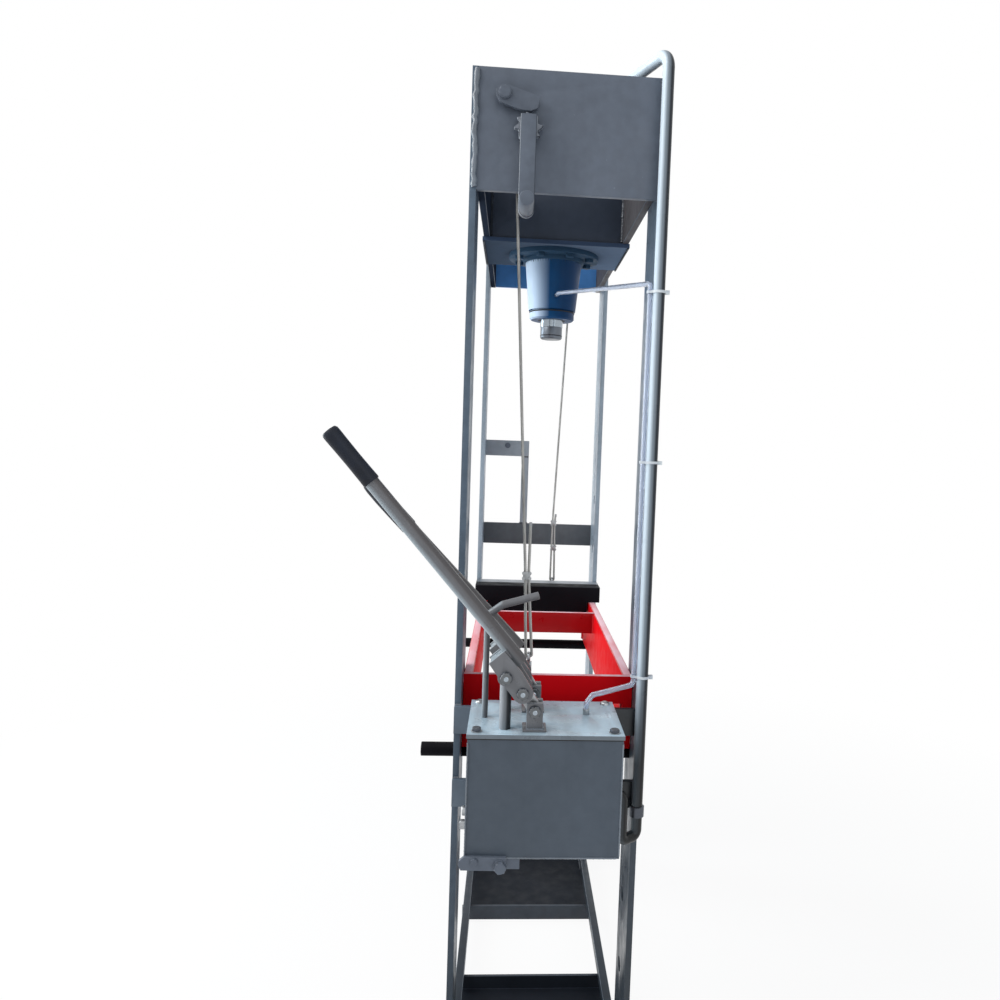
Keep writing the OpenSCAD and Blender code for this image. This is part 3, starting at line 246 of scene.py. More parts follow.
PLATE = (0.135, 0.158, 0.200)
TANK = (0.082, 0.103, 0.132)
POST = (0.135, 0.180, 0.235)
HEAD_SHADE = (0.050, 0.066, 0.100)
RED = (0.78, 0.005, 0.010)
PIPE_HIGHLIGHT = (0.72, 0.83, 0.92)
# The edge, tank_edge, post_edge, blue_edge and red_edge paints are lighter than their faces: a painted
# highlight along the rounded edges, and where wear is given also worn chips
M = {
    "plate": paint("paint_plate", PLATE, 0.42, 0.28, 0.35, (0.25, 0.28, 0.32)),
    "winch": paint("paint_winch", tint(PLATE, 1.05), 0.42, 0.4, 0.4, (0.32, 0.35, 0.39)),
    # Winch edge paint: painted highlight on the bevels turned left, painted shade on those turned right
    "winch_edge_lit_shaded": paint("paint_winch_edge_lit_shaded", tint(PLATE, 0.85), 0.4, 0.3, shine=0.2,
                        sides=((0.72, 0.77, 0.82), (0.030, 0.036, 0.046))),
    "tank": paint("paint_tank", TANK, 0.42, 0.25, 0.3, (0.17, 0.19, 0.22)),
    "tank_edge": paint("paint_tank_edge", (0.20, 0.23, 0.27), 0.34, 0.3, 0.4, (0.35, 0.37, 0.40)),
    # Post paints: darker towards the foot as painted shade; the right posts' copy is shaded further up, and
    # the far posts' copy is lighter as painted light
    "post": paint("paint_post", POST, 0.36, 0.4, 0.4, (0.34, 0.39, 0.45), shine=0.2,
                  painted_shade=("Z", 0.12, 0.55, 0.22)),
    "post_right_shaded": paint("paint_post_right_shaded", POST, 0.34, 0.3, 0.3, (0.34, 0.39, 0.45), shine=0.4,
                        painted_shade=("Z", 0.20, 1.45, 0.22)),
    "post_far_lit": paint("paint_post_far_lit", (0.300, 0.370, 0.440), 0.34, 0.3, 0.4, (0.44, 0.48, 0.54),
                      shine=0.6),
    "post_edge": paint("paint_post_edge", (0.30, 0.36, 0.43), 0.3, 0.35, 0.6, (0.55, 0.58, 0.62), shine=0.4,
                       painted_shade=("Z", 0.10, 0.60, 0.4)),
    # Painted shade: the near cross bars darken towards their right end
    "bar": paint("paint_bar", POST, 0.34, 0.4, 0.5, (0.34, 0.37, 0.41), shine=0.5,
                 painted_shade=("X", 0.10, 0.05, 0.12)),
    "edge": paint("paint_edge", (0.24, 0.26, 0.30), 0.34, 0.25, 0.4, (0.40, 0.42, 0.45)),
    # A darker copy of the plate paint for the head's cross plates: painted shade inside the head
    "dark": paint("paint_dark", HEAD_SHADE, 0.45, 0.3, 0.2, (0.11, 0.13, 0.17)),
    "dark_edge": paint("paint_dark_edge", (0.065, 0.085, 0.120), 0.4, 0.3),
    # The head's side plates: a shaded copy on the left and a lit copy on the right, as painted shade and
    # light
    "side_shaded": paint("paint_side_shaded", (0.028, 0.038, 0.060), 0.6, 0.2, shine=0.0),
    "side_lit": paint("paint_side_lit", (0.110, 0.105, 0.112), 0.5, 0.3, shine=0.05),
    "floor_plate": paint("paint_floor_plate", (0.052, 0.083, 0.150), 0.5, 0.2, shine=0.1),
    # Underside of the head's bottom plate: painted light from below, darkening towards the left as painted
    # shade
    "under": paint("paint_underside_lit", (0.150, 0.205, 0.295), 0.6, 0.05, shine=0.0, painted_shade=("X", -0.14, 0.14, 0.3)),
    # Far end plate: a saturated blue that paints the cool cast of the shade it stands in
    "far": paint("paint_far_shade_blue", (0.105, 0.32, 0.75), 0.5, 0.2, shine=0.1),
    # Painted shade: darker below about 892 mm, on the bar under the hanger
    "hanger": paint("paint_hanger", (0.430, 0.470, 0.520), 0.45, 0.3, 0.3, (0.46, 0.50, 0.56),
                    painted_shade=("Z", 0.891, 0.893, 0.32)),
    "tray": paint("paint_tray", (0.040, 0.050, 0.065), 0.5, 0.4, 0.3, (0.11, 0.12, 0.14)),
    # Near black inside the base trays: painted shade
    "tray_shade": paint("paint_tray_shade", (0.008, 0.011, 0.017), 0.6, 0.3, shine=0.15),
    # Lid: a lighter top as a painted reflection
    "lid": paint("paint_lid", (0.160, 0.190, 0.220), 0.30, 0.25, 0.2, (0.34, 0.40, 0.45), shine=0.6,
                 top=(0.49, 0.63, 0.73)),
    # Levers: painted highlight on the faces turned left and painted shade on those turned right
    "lever": paint("paint_lever", (0.172, 0.174, 0.186), 0.30, 0.25, 0.4, (0.40, 0.41, 0.43), shine=0.5,
                   sides=((0.300, 0.350, 0.385), (0.085, 0.078, 0.080))),
    # Pipe: painted highlight on the left, painted shade on the right and painted shade below the table
    "pipe": paint("paint_pipe", (0.230, 0.270, 0.310), 0.32, 0.06, 0.0, shine=0.3,
                  sides=(PIPE_HIGHLIGHT, (0.010, 0.016, 0.024)), painted_shade=("Z", 0.60, 0.76, 0.16)),
    # Cylinder blue: painted highlight on the left and painted shade on the right
    "blue": paint("paint_blue", (0.006, 0.070, 0.200), 0.38, 0.25, 0.0, shine=0.15,
                  sides=((0.54, 0.67, 0.84), (0.002, 0.040, 0.125))),
    "flange": paint("paint_flange", (0.034, 0.074, 0.128), 0.5, 0.15, shine=0.05),
    # Pistons: painted highlight on the left and painted shade on the right
    "piston": paint("paint_piston", (0.200, 0.210, 0.225), 0.34, 0.06, shine=0.3,
                    sides=((0.34, 0.36, 0.39), (0.020, 0.022, 0.026))),
    "blue_edge": paint("paint_blue_edge", (0.20, 0.23, 0.28), 0.3, 0.3),
    # Red: pale upper faces, a painted highlight with rubbed paint
    "red": paint("paint_red", RED, 0.5, 0.03, shine=0.03, top=(0.96, 0.64, 0.70)),
    # A darker copy of the red for the middle and rear members: painted shade, with a lighter top as painted
    # light
    "red_shaded": paint("paint_red_shaded", (0.35, 0.003, 0.006), 0.35, 0.15, coat=0.05, shine=0.2,
                      top=(0.55, 0.10, 0.12)),
    "red_edge": paint("paint_red_edge", (0.80, 0.16, 0.17), 0.30, 0.3, 0.4, (0.80, 0.55, 0.55), coat=0.1),
    "black": paint("paint_black", (0.0060, 0.0055, 0.0080), 0.55, 0.3, shine=0.06),
    "black_edge": metal("black_edge", (0.045, 0.046, 0.053), 0.5),
    "nose": metal("nose_steel", (0.16, 0.18, 0.21), 0.35, (1, 1, 30), 60, 0.15),
    "milled": paint("milled", (0.012, 0.013, 0.016), 0.5, 0.3, shine=0.05),
    "milled_pale": metal("milled_pale", (0.46, 0.50, 0.55), 0.40, (1, 30, 1), 120, 0.3),
    "nut": metal("nut", (0.17, 0.18, 0.19), 0.42, (1, 1, 1), 160, 0.35),
    "steel": metal("steel", (0.40, 0.42, 0.44), 0.36, (1, 1, 1), 260, 0.3),
    "zinc": metal("zinc", (0.44, 0.46, 0.48), 0.32, (1, 1, 1), 160, 0.35),
    "chrome": metal("chrome", (0.36, 0.41, 0.46), 0.18, (1, 1, 20), 60, 0.06, 0.00001),
    "bolt_dark": metal("bolt_dark", (0.10, 0.11, 0.13), 0.4),
    "rope": metal("rope", (0.46, 0.46, 0.45), 0.4, (1, 1, 1), 500, 0.3),
    "weld": metal("weld", (0.15, 0.16, 0.18), 0.5, (1, 1, 1), 300, 0.4),
    # Near-black welds: painted shade on the left of the head and under it
    "weld_shaded": paint("weld_shaded", (0.030, 0.036, 0.048), 0.5, 0.3, shine=0.1),
    "weld_grey": paint("weld_grey", (0.17, 0.20, 0.24), 0.28, 0.45, shine=0.7),
    "weld_red": paint("weld_red", (0.62, 0.008, 0.014), 0.30, 0.2, coat=0.1),
    "rubber": rubber("rubber", (0.016, 0.017, 0.020)),
    "grip": rubber("grip", (0.0040, 0.0075, 0.0165), 0.45),
    "gasket": rubber("gasket", (0.02, 0.02, 0.02), 0.7),
    "hose": clear_plastic("hose"),
    "tie": rubber("tie", (0.70, 0.74, 0.84), 0.4),
}


# Mesh tools

def mark_sharp(bm, degrees):
    limit = math.radians(degrees)
    for f in bm.faces:
        f.smooth = True
    for e in bm.edges:
        if len(e.link_faces) == 2 and e.calc_face_angle(0) > limit:
            e.smooth = False


def finish_mesh(name, bm, materials, body, sharp=32):
    mark_sharp(bm, sharp)
    mesh = bpy.data.meshes.new(name)
    bm.to_mesh(mesh)
    bm.free()
    for m in materials:
        mesh.materials.append(m)
    obj = bpy.data.objects.new(name, mesh)
    bpy.context.scene.collection.objects.link(obj)
    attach(obj, body)
    return obj


def bevel_edges(bm, edges, width, segments, edge):
    """Rounds the edges; the new faces take the second material if the piece has an edge material"""
    bmesh.ops.bevel(bm, geom=edges, offset=width / 1000, segments=segments, profile=0.6,
                    affect="EDGES", clamp_overlap=True, material=1 if edge else -1)


def soften(node, width, material, edge=None, segments=2, angle=38, other=None, where=None):
    """A copy of a CAD node with rounded edges, which can have an edge material, mostly lighter than the
    faces as a painted highlight and some with worn chips, and another material on the faces whose centre, in
    millimetres, and normal pass the test"""
    bm = bmesh.new()
    bm.from_mesh(NODES[node].data)
    bmesh.ops.remove_doubles(bm, verts=bm.verts, dist=2e-6)
    bmesh.ops.dissolve_limit(bm, angle_limit=math.radians(0.4), verts=bm.verts, edges=bm.edges)
    limit = math.radians(angle)
    sharp = [e for e in bm.edges if len(e.link_faces) == 2 and e.calc_face_angle(0) > limit]
    for f in bm.faces:
        f.material_index = 0
    bevel_edges(bm, sharp, width, segments, edge)
    if other:
        bm.normal_update()
        for f in bm.faces:
            if (f.material_index == 0 or not edge) and where(f.calc_center_median() * 1000, f.normal):
                f.material_index = 2
    obj = finish_mesh(node + "_shell", bm, [material, edge or material] + ([other] if other else []),
                      BODY_OF[node], 30)
    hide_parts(node)
    return obj


def box_piece(name, lo, hi, material, body, bevel):
    """A block between two corners in millimetres, with rounded edges unless bevel is 0"""
    bm = bmesh.new()
    centre = (Vector(lo) + Vector(hi)) / 2
    size = Vector(hi) - Vector(lo)
    bmesh.ops.create_cube(bm, size=1, matrix=Matrix.Translation(centre / 1000)
                          @ Matrix.Diagonal((*(size / 1000), 1)))
    if bevel:
        bevel_edges(bm, bm.edges[:], bevel, 2, None)
    return finish_mesh(name, bm, [material], body)


def plate_piece(name, outline, y0, y1, material, body, bevel, edge):
    """A plate in the XZ plane between y0 and y1, from its outline in millimetres"""
    bm = bmesh.new()
    ring = [bm.verts.new(mm(x, y0, z)) for x, z in outline]
    face = bm.faces.new(ring)
    moved = bmesh.ops.extrude_face_region(bm, geom=[face])["geom"]
    top = [v for v in moved if isinstance(v, bmesh.types.BMVert)]
    bmesh.ops.translate(bm, verts=top, vec=mm(0, y1 - y0, 0))
    bmesh.ops.recalc_face_normals(bm, faces=bm.faces)
    bevel_edges(bm, [e for e in bm.edges if e.calc_face_angle(0) > 0.6], bevel, 2, edge)
    return finish_mesh(name, bm, [material, edge], body)


def frame_of(direction):
    """Two unit vectors across a direction"""
    d = direction.normalized()
    up = Vector((0, 0, 1)) if abs(d.z) < 0.9 else Vector((1, 0, 0))
    x = up.cross(d).normalized()
    return x, d.cross(x)


def ring_faces(bm, rings):
    """Joins rings of vertices one after the other into a tube and closes both ends"""
    count = len(rings[0])
    for a, b in zip(rings, rings[1:]):
        for i in range(count):
            j = (i + 1) % count
            bm.faces.new((a[i], a[j], b[j], b[i]))
    bm.faces.new(rings[0][::-1])
    bm.faces.new(rings[-1])


def lathe(name, start, axis, profile, material, body, steps=48, sharp=32):
    """A turned solid, closed at both ends: profile is (distance along the axis, radius) in mm"""
    bm = bmesh.new()
    axis = Vector(axis).normalized()
    x, y = frame_of(axis)
    start = Vector(start)
    rings = []
    for along, radius in profile:
        ring = []
        for i in range(steps):
            a = 2 * math.pi * i / steps
            p = start + axis * along + (x * math.cos(a) + y * math.sin(a)) * max(radius, 0.001)
            ring.append(bm.verts.new(p / 1000))
        rings.append(ring)
    ring_faces(bm, rings)
    bmesh.ops.recalc_face_normals(bm, faces=bm.faces)
    return finish_mesh(name, bm, [material], body, sharp)


def sweep_into(bm, points, radius, sides):
    """Adds a tube along points, in millimetres; radius is a number or a function of the share done"""
    pts = [Vector(p) for p in points]
    n = len(pts)
    tangents = []
    for i in range(n):
        a = pts[max(i - 1, 0)]
        b = pts[min(i + 1, n - 1)]
        tangents.append((b - a).normalized())
    x, y = frame_of(tangents[0])
    rings = []
    for i, p in enumerate(pts):
        t = tangents[i]
        x = (x - t * x.dot(t)).normalized()
        y = t.cross(x)
        r = radius(i / max(n - 1, 1)) if callable(radius) else radius
        ring = []
        for k in range(sides):
            a = 2 * math.pi * k / sides
            ring.append(bm.verts.new((p + (x * math.cos(a) + y * math.sin(a)) * r) / 1000))
        rings.append(ring)
    ring_faces(bm, rings)


def tube(name, points, radius, material, body, sides):
    bm = bmesh.new()
    sweep_into(bm, points, radius, sides)
    bmesh.ops.recalc_face_normals(bm, faces=bm.faces)
    return finish_mesh(name, bm, [material], body, 50)


def rounded(points, bend, steps=8):
    """Points with each inner corner turned into an arc that reaches bend along its legs"""
    pts = [Vector(p) for p in points]
    out = [pts[0]]
    for a, b, c in zip(pts, pts[1:], pts[2:]):
        u = a - b
        v = c - b
        reach = min(bend, u.length * 0.49, v.length * 0.49)
        p = b + u.normalized() * reach
        q = b + v.normalized() * reach
        for i in range(steps + 1):
            t = i / steps
            out.append(p * (1 - t) ** 2 + b * 2 * t * (1 - t) + q * t ** 2)
    out.append(pts[-1])
    return out


def spaced(points, step):
    """The same line with a point about every step millimetres"""
    pts = [Vector(p) for p in points]
    out = [pts[0]]
    for a, b in zip(pts, pts[1:]):
        n = max(1, round((b - a).length / step))
        out += [a.lerp(b, (i + 1) / n) for i in range(n)]
    return out


def rope(name, points, radius, body, step=1.6, bend=4):
    """Twisted wire rope along points: strands wound round a core"""
    strands = 6
    lay = 22
    line = spaced(rounded(points, bend) if len(points) > 2 else points, step)
    bm = bmesh.new()
    strand_r = radius * 0.36
    wind_r = radius - strand_r
    tangents = [(line[min(i + 1, len(line) - 1)] - line[max(i - 1, 0)]).normalized()
                for i in range(len(line))]
    x, _ = frame_of(tangents[0])
    frames = []
    for t in tangents:
        x = (x - t * x.dot(t)).normalized()
        frames.append((x.copy(), t.cross(x)))
    run = 0.0
    turns = []
    for i, p in enumerate(line):
        if i:
            run += (p - line[i - 1]).length
        turns.append(2 * math.pi * run / lay)
    for k in range(strands):
        path = []
        for p, (fx, fy), turn in zip(line, frames, turns):
            a = turn + 2 * math.pi * k / strands
            path.append(p + (fx * math.cos(a) + fy * math.sin(a)) * wind_r)
        sweep_into(bm, path, strand_r, 6)
    sweep_into(bm, line, radius * 0.45, 6)
    bmesh.ops.recalc_face_normals(bm, faces=bm.faces)
    return finish_mesh(name, bm, [M["rope"]], body, 70)


def weld(name, points, radius, material, body, pitch, seed, drift=0.10):
    """A weld bead: overlapping lumps along a line, one every pitch millimetres"""
    rng = random.Random(seed)
    line = spaced(points, max(1.0, pitch / 4))
    bm = bmesh.new()
    phase = rng.random()
    sizes = []
    for i in range(len(line)):
        t = i / 4 + phase
        lump = abs(math.sin(math.pi * t)) ** 0.5
        sizes.append(radius * (0.72 + 0.28 * lump) * (0.92 + 0.16 * rng.random()))
    path = [p + Vector((rng.uniform(-1, 1), rng.uniform(-1, 1), rng.uniform(-1, 1))) * radius * drift
            for p in line]
    count = len(path)
    sweep_into(bm, path, lambda s: sizes[min(count - 1, round(s * (count - 1)))], 10)
    bmesh.ops.recalc_face_normals(bm, faces=bm.faces)
    return finish_mesh(name, bm, [material], body, 60)


def hex_piece(name, at, axis, across, height, material, body, turn=0.0):
    """A hexagonal head or nut, which starts at a point and stands along an axis"""
    bm = bmesh.new()
    axis = Vector(axis).normalized()
    x, y = frame_of(axis)
    corner = across / math.sqrt(3)
    inner = across / 2
    at = Vector(at)
    steps = 36
    rings = []
    for along, most in ((0, corner), (height * 0.82, corner), (height, inner * 0.97)):
        ring = []
        for k in range(steps):
            a = 2 * math.pi * k / steps + turn
            side = math.cos(math.pi / 6) / math.cos(((a - turn) % (math.pi / 3)) - math.pi / 6)
            reach = min(corner * side, most)
            p = at + axis * along + (x * math.cos(a) + y * math.sin(a)) * reach
            ring.append(bm.verts.new(p / 1000))
        rings.append(ring)
    ring_faces(bm, rings)
    bmesh.ops.recalc_face_normals(bm, faces=bm.faces)
    return finish_mesh(name, bm, [material], body, 28)


def bolt(name, at, axis, across, material, height, washer=True, turn=0.0):
    """A hex head on the frame, with a washer under it unless washer is false"""
    body = "frame"
    axis = Vector(axis).normalized()
    at = Vector(at)
    up = 0
    if washer:
        lathe(name + "_washer", at, axis, [(0, across * 0.62), (1.2, across * 0.62), (1.5, across * 0.6)],
              material, body, 36)
        up = 1.4
    hex_piece(name + "_head", at + axis * up, axis, across, height, material, body, turn)


# Frame

def inside_tray(c, n):
    """True on the faces that look into a base tray, which are painted near black as shade"""
    if c.z < 8:
        return n.z > 0.5
    outer = abs(c.y) > 400
    return c.z < 31 and abs(n.y) > 0.5 and (n.y * c.y < 0) == outer


def seam(name, start, end, radius, material, pitch, seed):
    """A straight weld bead on the dark parts of the frame"""
    weld(name, [start, end], radius, material, "frame", pitch, seed)


def build_frame():
    # The right posts take a copy of the post paint with more painted shade, the far posts a lighter copy as
    # painted light
    soften("near_posts", 1.4, M["post"], M["post_edge"], other=M["post_right_shaded"], where=lambda c, n: c.x > 0)
    soften("far_posts", 1.4, M["post_far_lit"], M["post_edge"])
    soften("near_end_plate", 0.9, M["plate"])
    # The far plate's blue and the head plates' colours paint their shade and light: shade on the left side
    # plate and the cross plates, light on the right side plate and under the bottom plate
    soften("far_end_plate", 1.2, M["far"], M["dark_edge"])
    soften("head_side_plates", 1.0, M["side_shaded"], M["dark_edge"], other=M["side_lit"],
           where=lambda c, n: c.x > 0)
    soften("head_cross_plates", 1.0, M["dark"], M["side_shaded"])
    soften("head_bottom_plate", 1.0, M["floor_plate"], M["dark_edge"], other=M["under"],
           where=lambda c, n: n.z < -0.5)
    soften("base_rails", 1.0, M["post"], M["post_edge"])
    soften("base_trays", 1.6, M["tray"], M["dark_edge"], other=M["tray_shade"], where=inside_tray)
    # The near cross bars darken towards their right end as painted shade
    soften("near_cross_bars", 1.2, M["bar"], M["bar"])
    # The far bar below the hanger is darker as painted shade
    soften("far_cross_bars", 1.2, M["hanger"], M["dark_edge"])
    build_frame_welds()


def build_frame_welds():
    """The beads along the joints of the posts, plates, trays and bars"""
    pale = M["weld"]
    dark = M["weld_shaded"]
    grey = M["weld_grey"]
    bead = weld("seam_left", [(-143.5, -430.2, 1485), (-143.5, -430.2, 1661)], 5.0, grey, "frame",
                26, 3, 0.26)
    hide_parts("weld_beads")
    weld("seam_right", [(140, -429.0, 1484), (140, -429.0, 1661)], 2.6, grey, "frame", 5, 4)
    # The welds on the left of the head and under it are near black as painted shade; those on the right are
    # pale
    for side in (-1, 1):
        for cross in (-1, 1):
            x = side * 127.2
            y = cross * 100.8
            seam(f"head_weld_{side}_{cross}", (x, y, 1496), (x, y, 1650), 4.0, pale if side > 0 else dark, 6,
                 11 + side + 3 * cross)
        x = side * 126.6
        seam(f"floor_weld_{side}", (x, -86, 1494.2), (x, 86, 1494.2), 3.2, pale, 6, 20 + side)
        for col in (-1, 1):
            shift = side + 3 * col
            x = side * 138.6
            seam(f"foot_weld_{side}_{col}", (x, col * 334, 7.2), (x, col * 428, 7.2), 3.0, pale, 6,
                 30 + shift)
            x = side * 142
            y = col * 330.4
            seam(f"rail_weld_{side}_{col}", (x, y, 33.5), (x, y, 49), 2.6, pale, 5, 40 + shift)
            x = side * 139.0
            y = col * 419.4
            seam(f"plate_weld_{side}_{col}", (x, y, 1498), (x, y, 1655), 2.4, pale, 5, 50 + shift)
        x = side * 139.5
        seam(f"bottom_weld_{side}", (x, -104, 1484.6), (x, 104, 1484.6), 2.0, dark, 6, 60 + side)
        for k, z in enumerate((523, 566, 641, 684)):
            weld(f"bar_weld_{side}_{k}", [(side * 139.4, -430.4, z), (side * 149.4, -430.4, z)], 2.2, grey,
                 "frame", 4, 70 + side + k)
    weld("hanger_weld_top", [(-47, 431, 1067), (-47, 431, 1065), (-30, 431, 1065)], 2.2, pale, "frame",
         4, 81)
    seam("hanger_weld_low", (-48, 431, 892), (-28, 431, 892), 2.4, pale, 4, 82)


# Cylinder, ram and spring

def build_cylinder():
    soften("cylinder_barrel", 0.8, M["blue"], M["blue_edge"], angle=50, other=M["flange"],
           where=lambda c, n: c.z > 1466)
    soften("cylinder_cap", 0.8, M["blue"])
    soften("cylinder_gland", 0.5, M["blue"], M["blue"], angle=50)
    soften("wiper_seal", 0.3, M["rubber"])
    soften("ram", 0.4, M["chrome"], angle=50)
    soften("ram_nose", 0.6, M["nose"], M["nose"], angle=30)
    soften("flange_screws", 0.5, M["flange"])
    # Discs whose rims show as a collar under the flange and as dark rings on the gland and the nose
    up = (0, 0, 1)
    lathe("barrel_collar", (0, 0, 1468), up, [(0, 57.6), (1, 61), (6, 63), (8, 63)], M["flange"],
          "frame", 72)
    lathe("gland_groove", (0, 0, 1368.2), up, [(0, 45.7), (0.6, 46.4), (1.8, 46.4), (2.4, 45.7)],
          M["rubber"], "frame", 72)
    lathe("nose_groove", (0, 0, 1322), up, [(0, 22.3), (0.5, 22.7), (1.6, 22.7), (2, 22.3)],
          M["black_edge"], "ram_body", 64)
    coil_r = 34
    turns = 9.5
    per_turn = 28
    count = turns * per_turn
    low, high = SPRING_Z
    points = []
    for i in range(int(count) + 1):
        a = 2 * math.pi * i / per_turn
        z = low + (high - low) * i / count
        points.append((coil_r * math.cos(a), coil_r * math.sin(a), z))
    coil = tube("spring_coil", points, 3.0, M["steel"], "frame", 12)
    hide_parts("return_spring")
    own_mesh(coil)


# Pipe, hose and ties

def build_pipe():
    pipe = NODES["pressure_pipe"]
    pipe.data.materials.clear()
    pipe.data.materials.append(M["pipe"])
    for f in pipe.data.polygons:
        f.use_smooth = True
    # The fittings below 600 mm are dark: painted shade in the gap beside the tank
    soften("pipe_fittings", 0.4, M["zinc"], other=M["bolt_dark"], where=lambda c, n: c.z < 600)
    hose = NODES["drain_hose"]
    hose.data.materials.clear()
    hose.data.materials.append(M["hose"])
    up = (0, 0, 1)
    # The collar is dark as painted shade, like the pipe below the table
    lathe("pipe_collar", (*PIPE, 514), up, [(0, 9.6), (1, 11.6), (17, 11.6), (18, 9.6)], M["bolt_dark"],
          "frame", 36)
    lathe("port_nut", (0, 0, 1654.2), up, [(0, 13), (1, 14.6), (15, 14.6), (16.5, 12)], M["zinc"],
          "frame", 6, 20)
    soften("cable_ties", 0.3, M["tie"])


# Tank and its top

def build_tank():
    soften("tank_shell", 2.6, M["tank"], M["tank_edge"], 3)
    soften("tank_lid", 1.2, M["lid"], M["lid"])
    soften("lid_gasket", 0.3, M["gasket"])
    soften("pump_block", 1.0, M["steel"])
    soften("suction_filter", 0.4, M["zinc"])
    soften("tank_strap", 1.2, M["plate"], M["edge"])
    soften("pump_lugs", 1.0, M["lever"], M["edge"])
    build_lid_screws()
    build_tank_welds()
    front = (0, -1, 0)
    strap_y = -599.2
    bolt("strap_bolt", (-70, strap_y, 510), front, 15.6, M["winch"], 6.5, turn=0.2)
    bolt("strap_bolt_small", (-106.7, strap_y, 517.6), front, 9, M["winch"], 3.4, turn=0.5)
    # Low plugs on the tank's left wall
    for k, (z, out) in enumerate(((572, 6), (552, 9))):
        hex_piece(f"wall_plug_{k}", (-121, -560, z), (-1, 0, 0), 12, out, M["zinc"], "frame",
                  k)
    for key, y in LEVER_Y.items():
        build_lug_foot(key, LUG_BOLT[0], y)


def build_lid_screws():
    """Hex heads on washers at the front of the lid, and low domes at its back"""
    up = (0, 0, 1)
    front_y = -581
    back_y = -452
    first = None
    for k, x in enumerate((-109, 86)):
        head = hex_piece(f"lid_bolt_{k}", (x, front_y, LID_Z + 1.2), up, 12, 4.6, M["bolt_dark"], "frame",
                         0.3 * k)
        lathe(f"lid_washer_{k}", (x, front_y, LID_Z), up, [(0, 8), (1.2, 8), (1.4, 7.6)], M["zinc"], "frame",
              32)
        lathe(f"lid_dome_{k}", (x, back_y, LID_Z), up,
              [(0, 7.4), (1.6, 7.2), (3.4, 6.0), (4.6, 3.6), (5, 1)], M["zinc"], "frame",
              32, 60)
        first = first or head
    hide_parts("lid_screws")


def build_tank_welds():
    """Welded seams of the tank, proud of its corners"""
    for side, x in ((-1, -120.2), (1, 97.2)):
        weld(f"tank_seam_{side}", [(x, -593.4, 522), (x, -593.4, 684)], 1.3, M["weld_grey"], "frame",
             5, 90 + side)
    weld("tank_floor_seam", [(-117, -593.0, 518.8), (94, -593.0, 518.8)], 1.4, M["weld_grey"], "frame",
         5, 93)


def build_lug_foot(key, x, y):
    """The plate under a lug, welded along its front and its right side"""
    half = 17
    box_piece(f"lug_foot_{key}", (x - half, y - half, LID_Z), (x + half, y + half, LID_Z + 3), M["lever"],
              "frame", 0.8)
    z = LID_Z + 3.4
    weld(f"lug_weld_{key}", [(x - 12, y - 14, z), (x + 12, y - 14, z)], 1.9, M["weld_grey"], "frame",
         4, 95)
    weld(f"lug_weld_side_{key}", [(x + 12, y - 13, z), (x + 12, y + 13, z)], 1.9, M["weld_grey"], "frame",
         4, 96)


# Pump levers

def lever_point(key, along, off):
    """X and Z of a point along a lever and off its line, seen from the bolt at its knee"""
    dx, dz = LEVER_DIR[key]
    return (KNEE_BOLT[0] + dx * along + dz * off, KNEE_BOLT[1] + dz * along - dx * off)


def tube_at(key, along):
    """A point on the axis of a lever's tube"""
    x, z = lever_point(key, along, TUBE_OFF)
    return Vector((x, LEVER_Y[key], z))


def build_levers():
    for key, y in LEVER_Y.items():
        handle = f"handle_{key}"
        soften(f"lever_{key}", 0.9, M["lever"], M["edge"], angle=45)
        soften(f"link_{key}", 0.6, M["steel"], angle=45)
        soften(f"piston_{key}", 0.5, M["piston"], angle=45)
        build_grip(key, handle)
        for name, (bx, bz), body, half in (("pivot", PISTON_BOLT, f"plunger_{key}", 20.5),
                                           ("knee", KNEE_BOLT, handle, 20.0)):
            lever_bolt(f"{name}_front_{key}", (bx, y - half, bz), (0, -1, 0), body)
            lever_bolt(f"{name}_back_{key}", (bx, y + half, bz), (0, 1, 0), body)
        lever_bolt(f"lug_front_{key}", (LUG_BOLT[0], y - 13.5, LUG_BOLT[1]), (0, -1, 0), "frame")
        # Weld between the spacer block and the tube, on both sides
        ends = [lever_point(key, along, 15.5) for along in (49, 62)]
        for side in (-1, 1):
            weld(f"lever_weld_{key}_{side}", [(px, y + side * 8.8, pz) for px, pz in ends], 2.2,
                 M["weld_grey"], handle, 4, 101 + side)
    soften("release_lever", 0.5, M["lever"], angle=45)
    lathe("release_tip", (-26, -520, 879), (0.96, 0, 0.28), [(-0.5, 5.4), (0.2, 4.6), (0.6, 3)], M["lever"],
          "release", 28)


# Distance from a grip's lower end and radius there, in millimetres
GRIP_PROFILE = {
    "a": [(0, 11.9), (2, 12.5), (12, 12.2), (40, 11.9), (68, 12.2), (82, 12.5), (88, 12.3), (91, 10.5),
          (92, 5)],
    "b": [(0, 11.6), (2, 12.2), (30, 12.5), (60, 12.4), (80, 11.6), (88, 10.6), (91, 8.0), (92, 5)],
}


def build_grip(key, handle):
    """A sleeve with a slight waist on the front lever and a slight belly on the rear one"""
    dx, dz = LEVER_DIR[key]
    start = tube_at(key, LEVER_LEN[key] - GRIP_LEN)
    grip = lathe(f"grip_sleeve_{key}", start, (dx, 0, dz), GRIP_PROFILE[key], M["grip"], handle,
                 48, 40)
    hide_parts(f"grip_{key}")


def lever_bolt(name, at, axis, body):
    """A nut on a dark washer, with the bright end of its bolt in the middle"""
    at = Vector(at)
    axis = Vector(axis)
    lathe(name + "_washer", at, axis, [(0, 9.0), (1.2, 9.0), (1.5, 8.7)], M["bolt_dark"], body, 36)
    hex_piece(name + "_nut", at + axis * 1.4, axis, 14.9, 5.2, M["nut"], body, 0.4)
    lathe(name + "_end", at + axis * 6.4, axis, [(0, 3.4), (0.8, 3.4), (1.1, 2.8)], M["chrome"], body,
          24)


# Winch, pawl and pulley

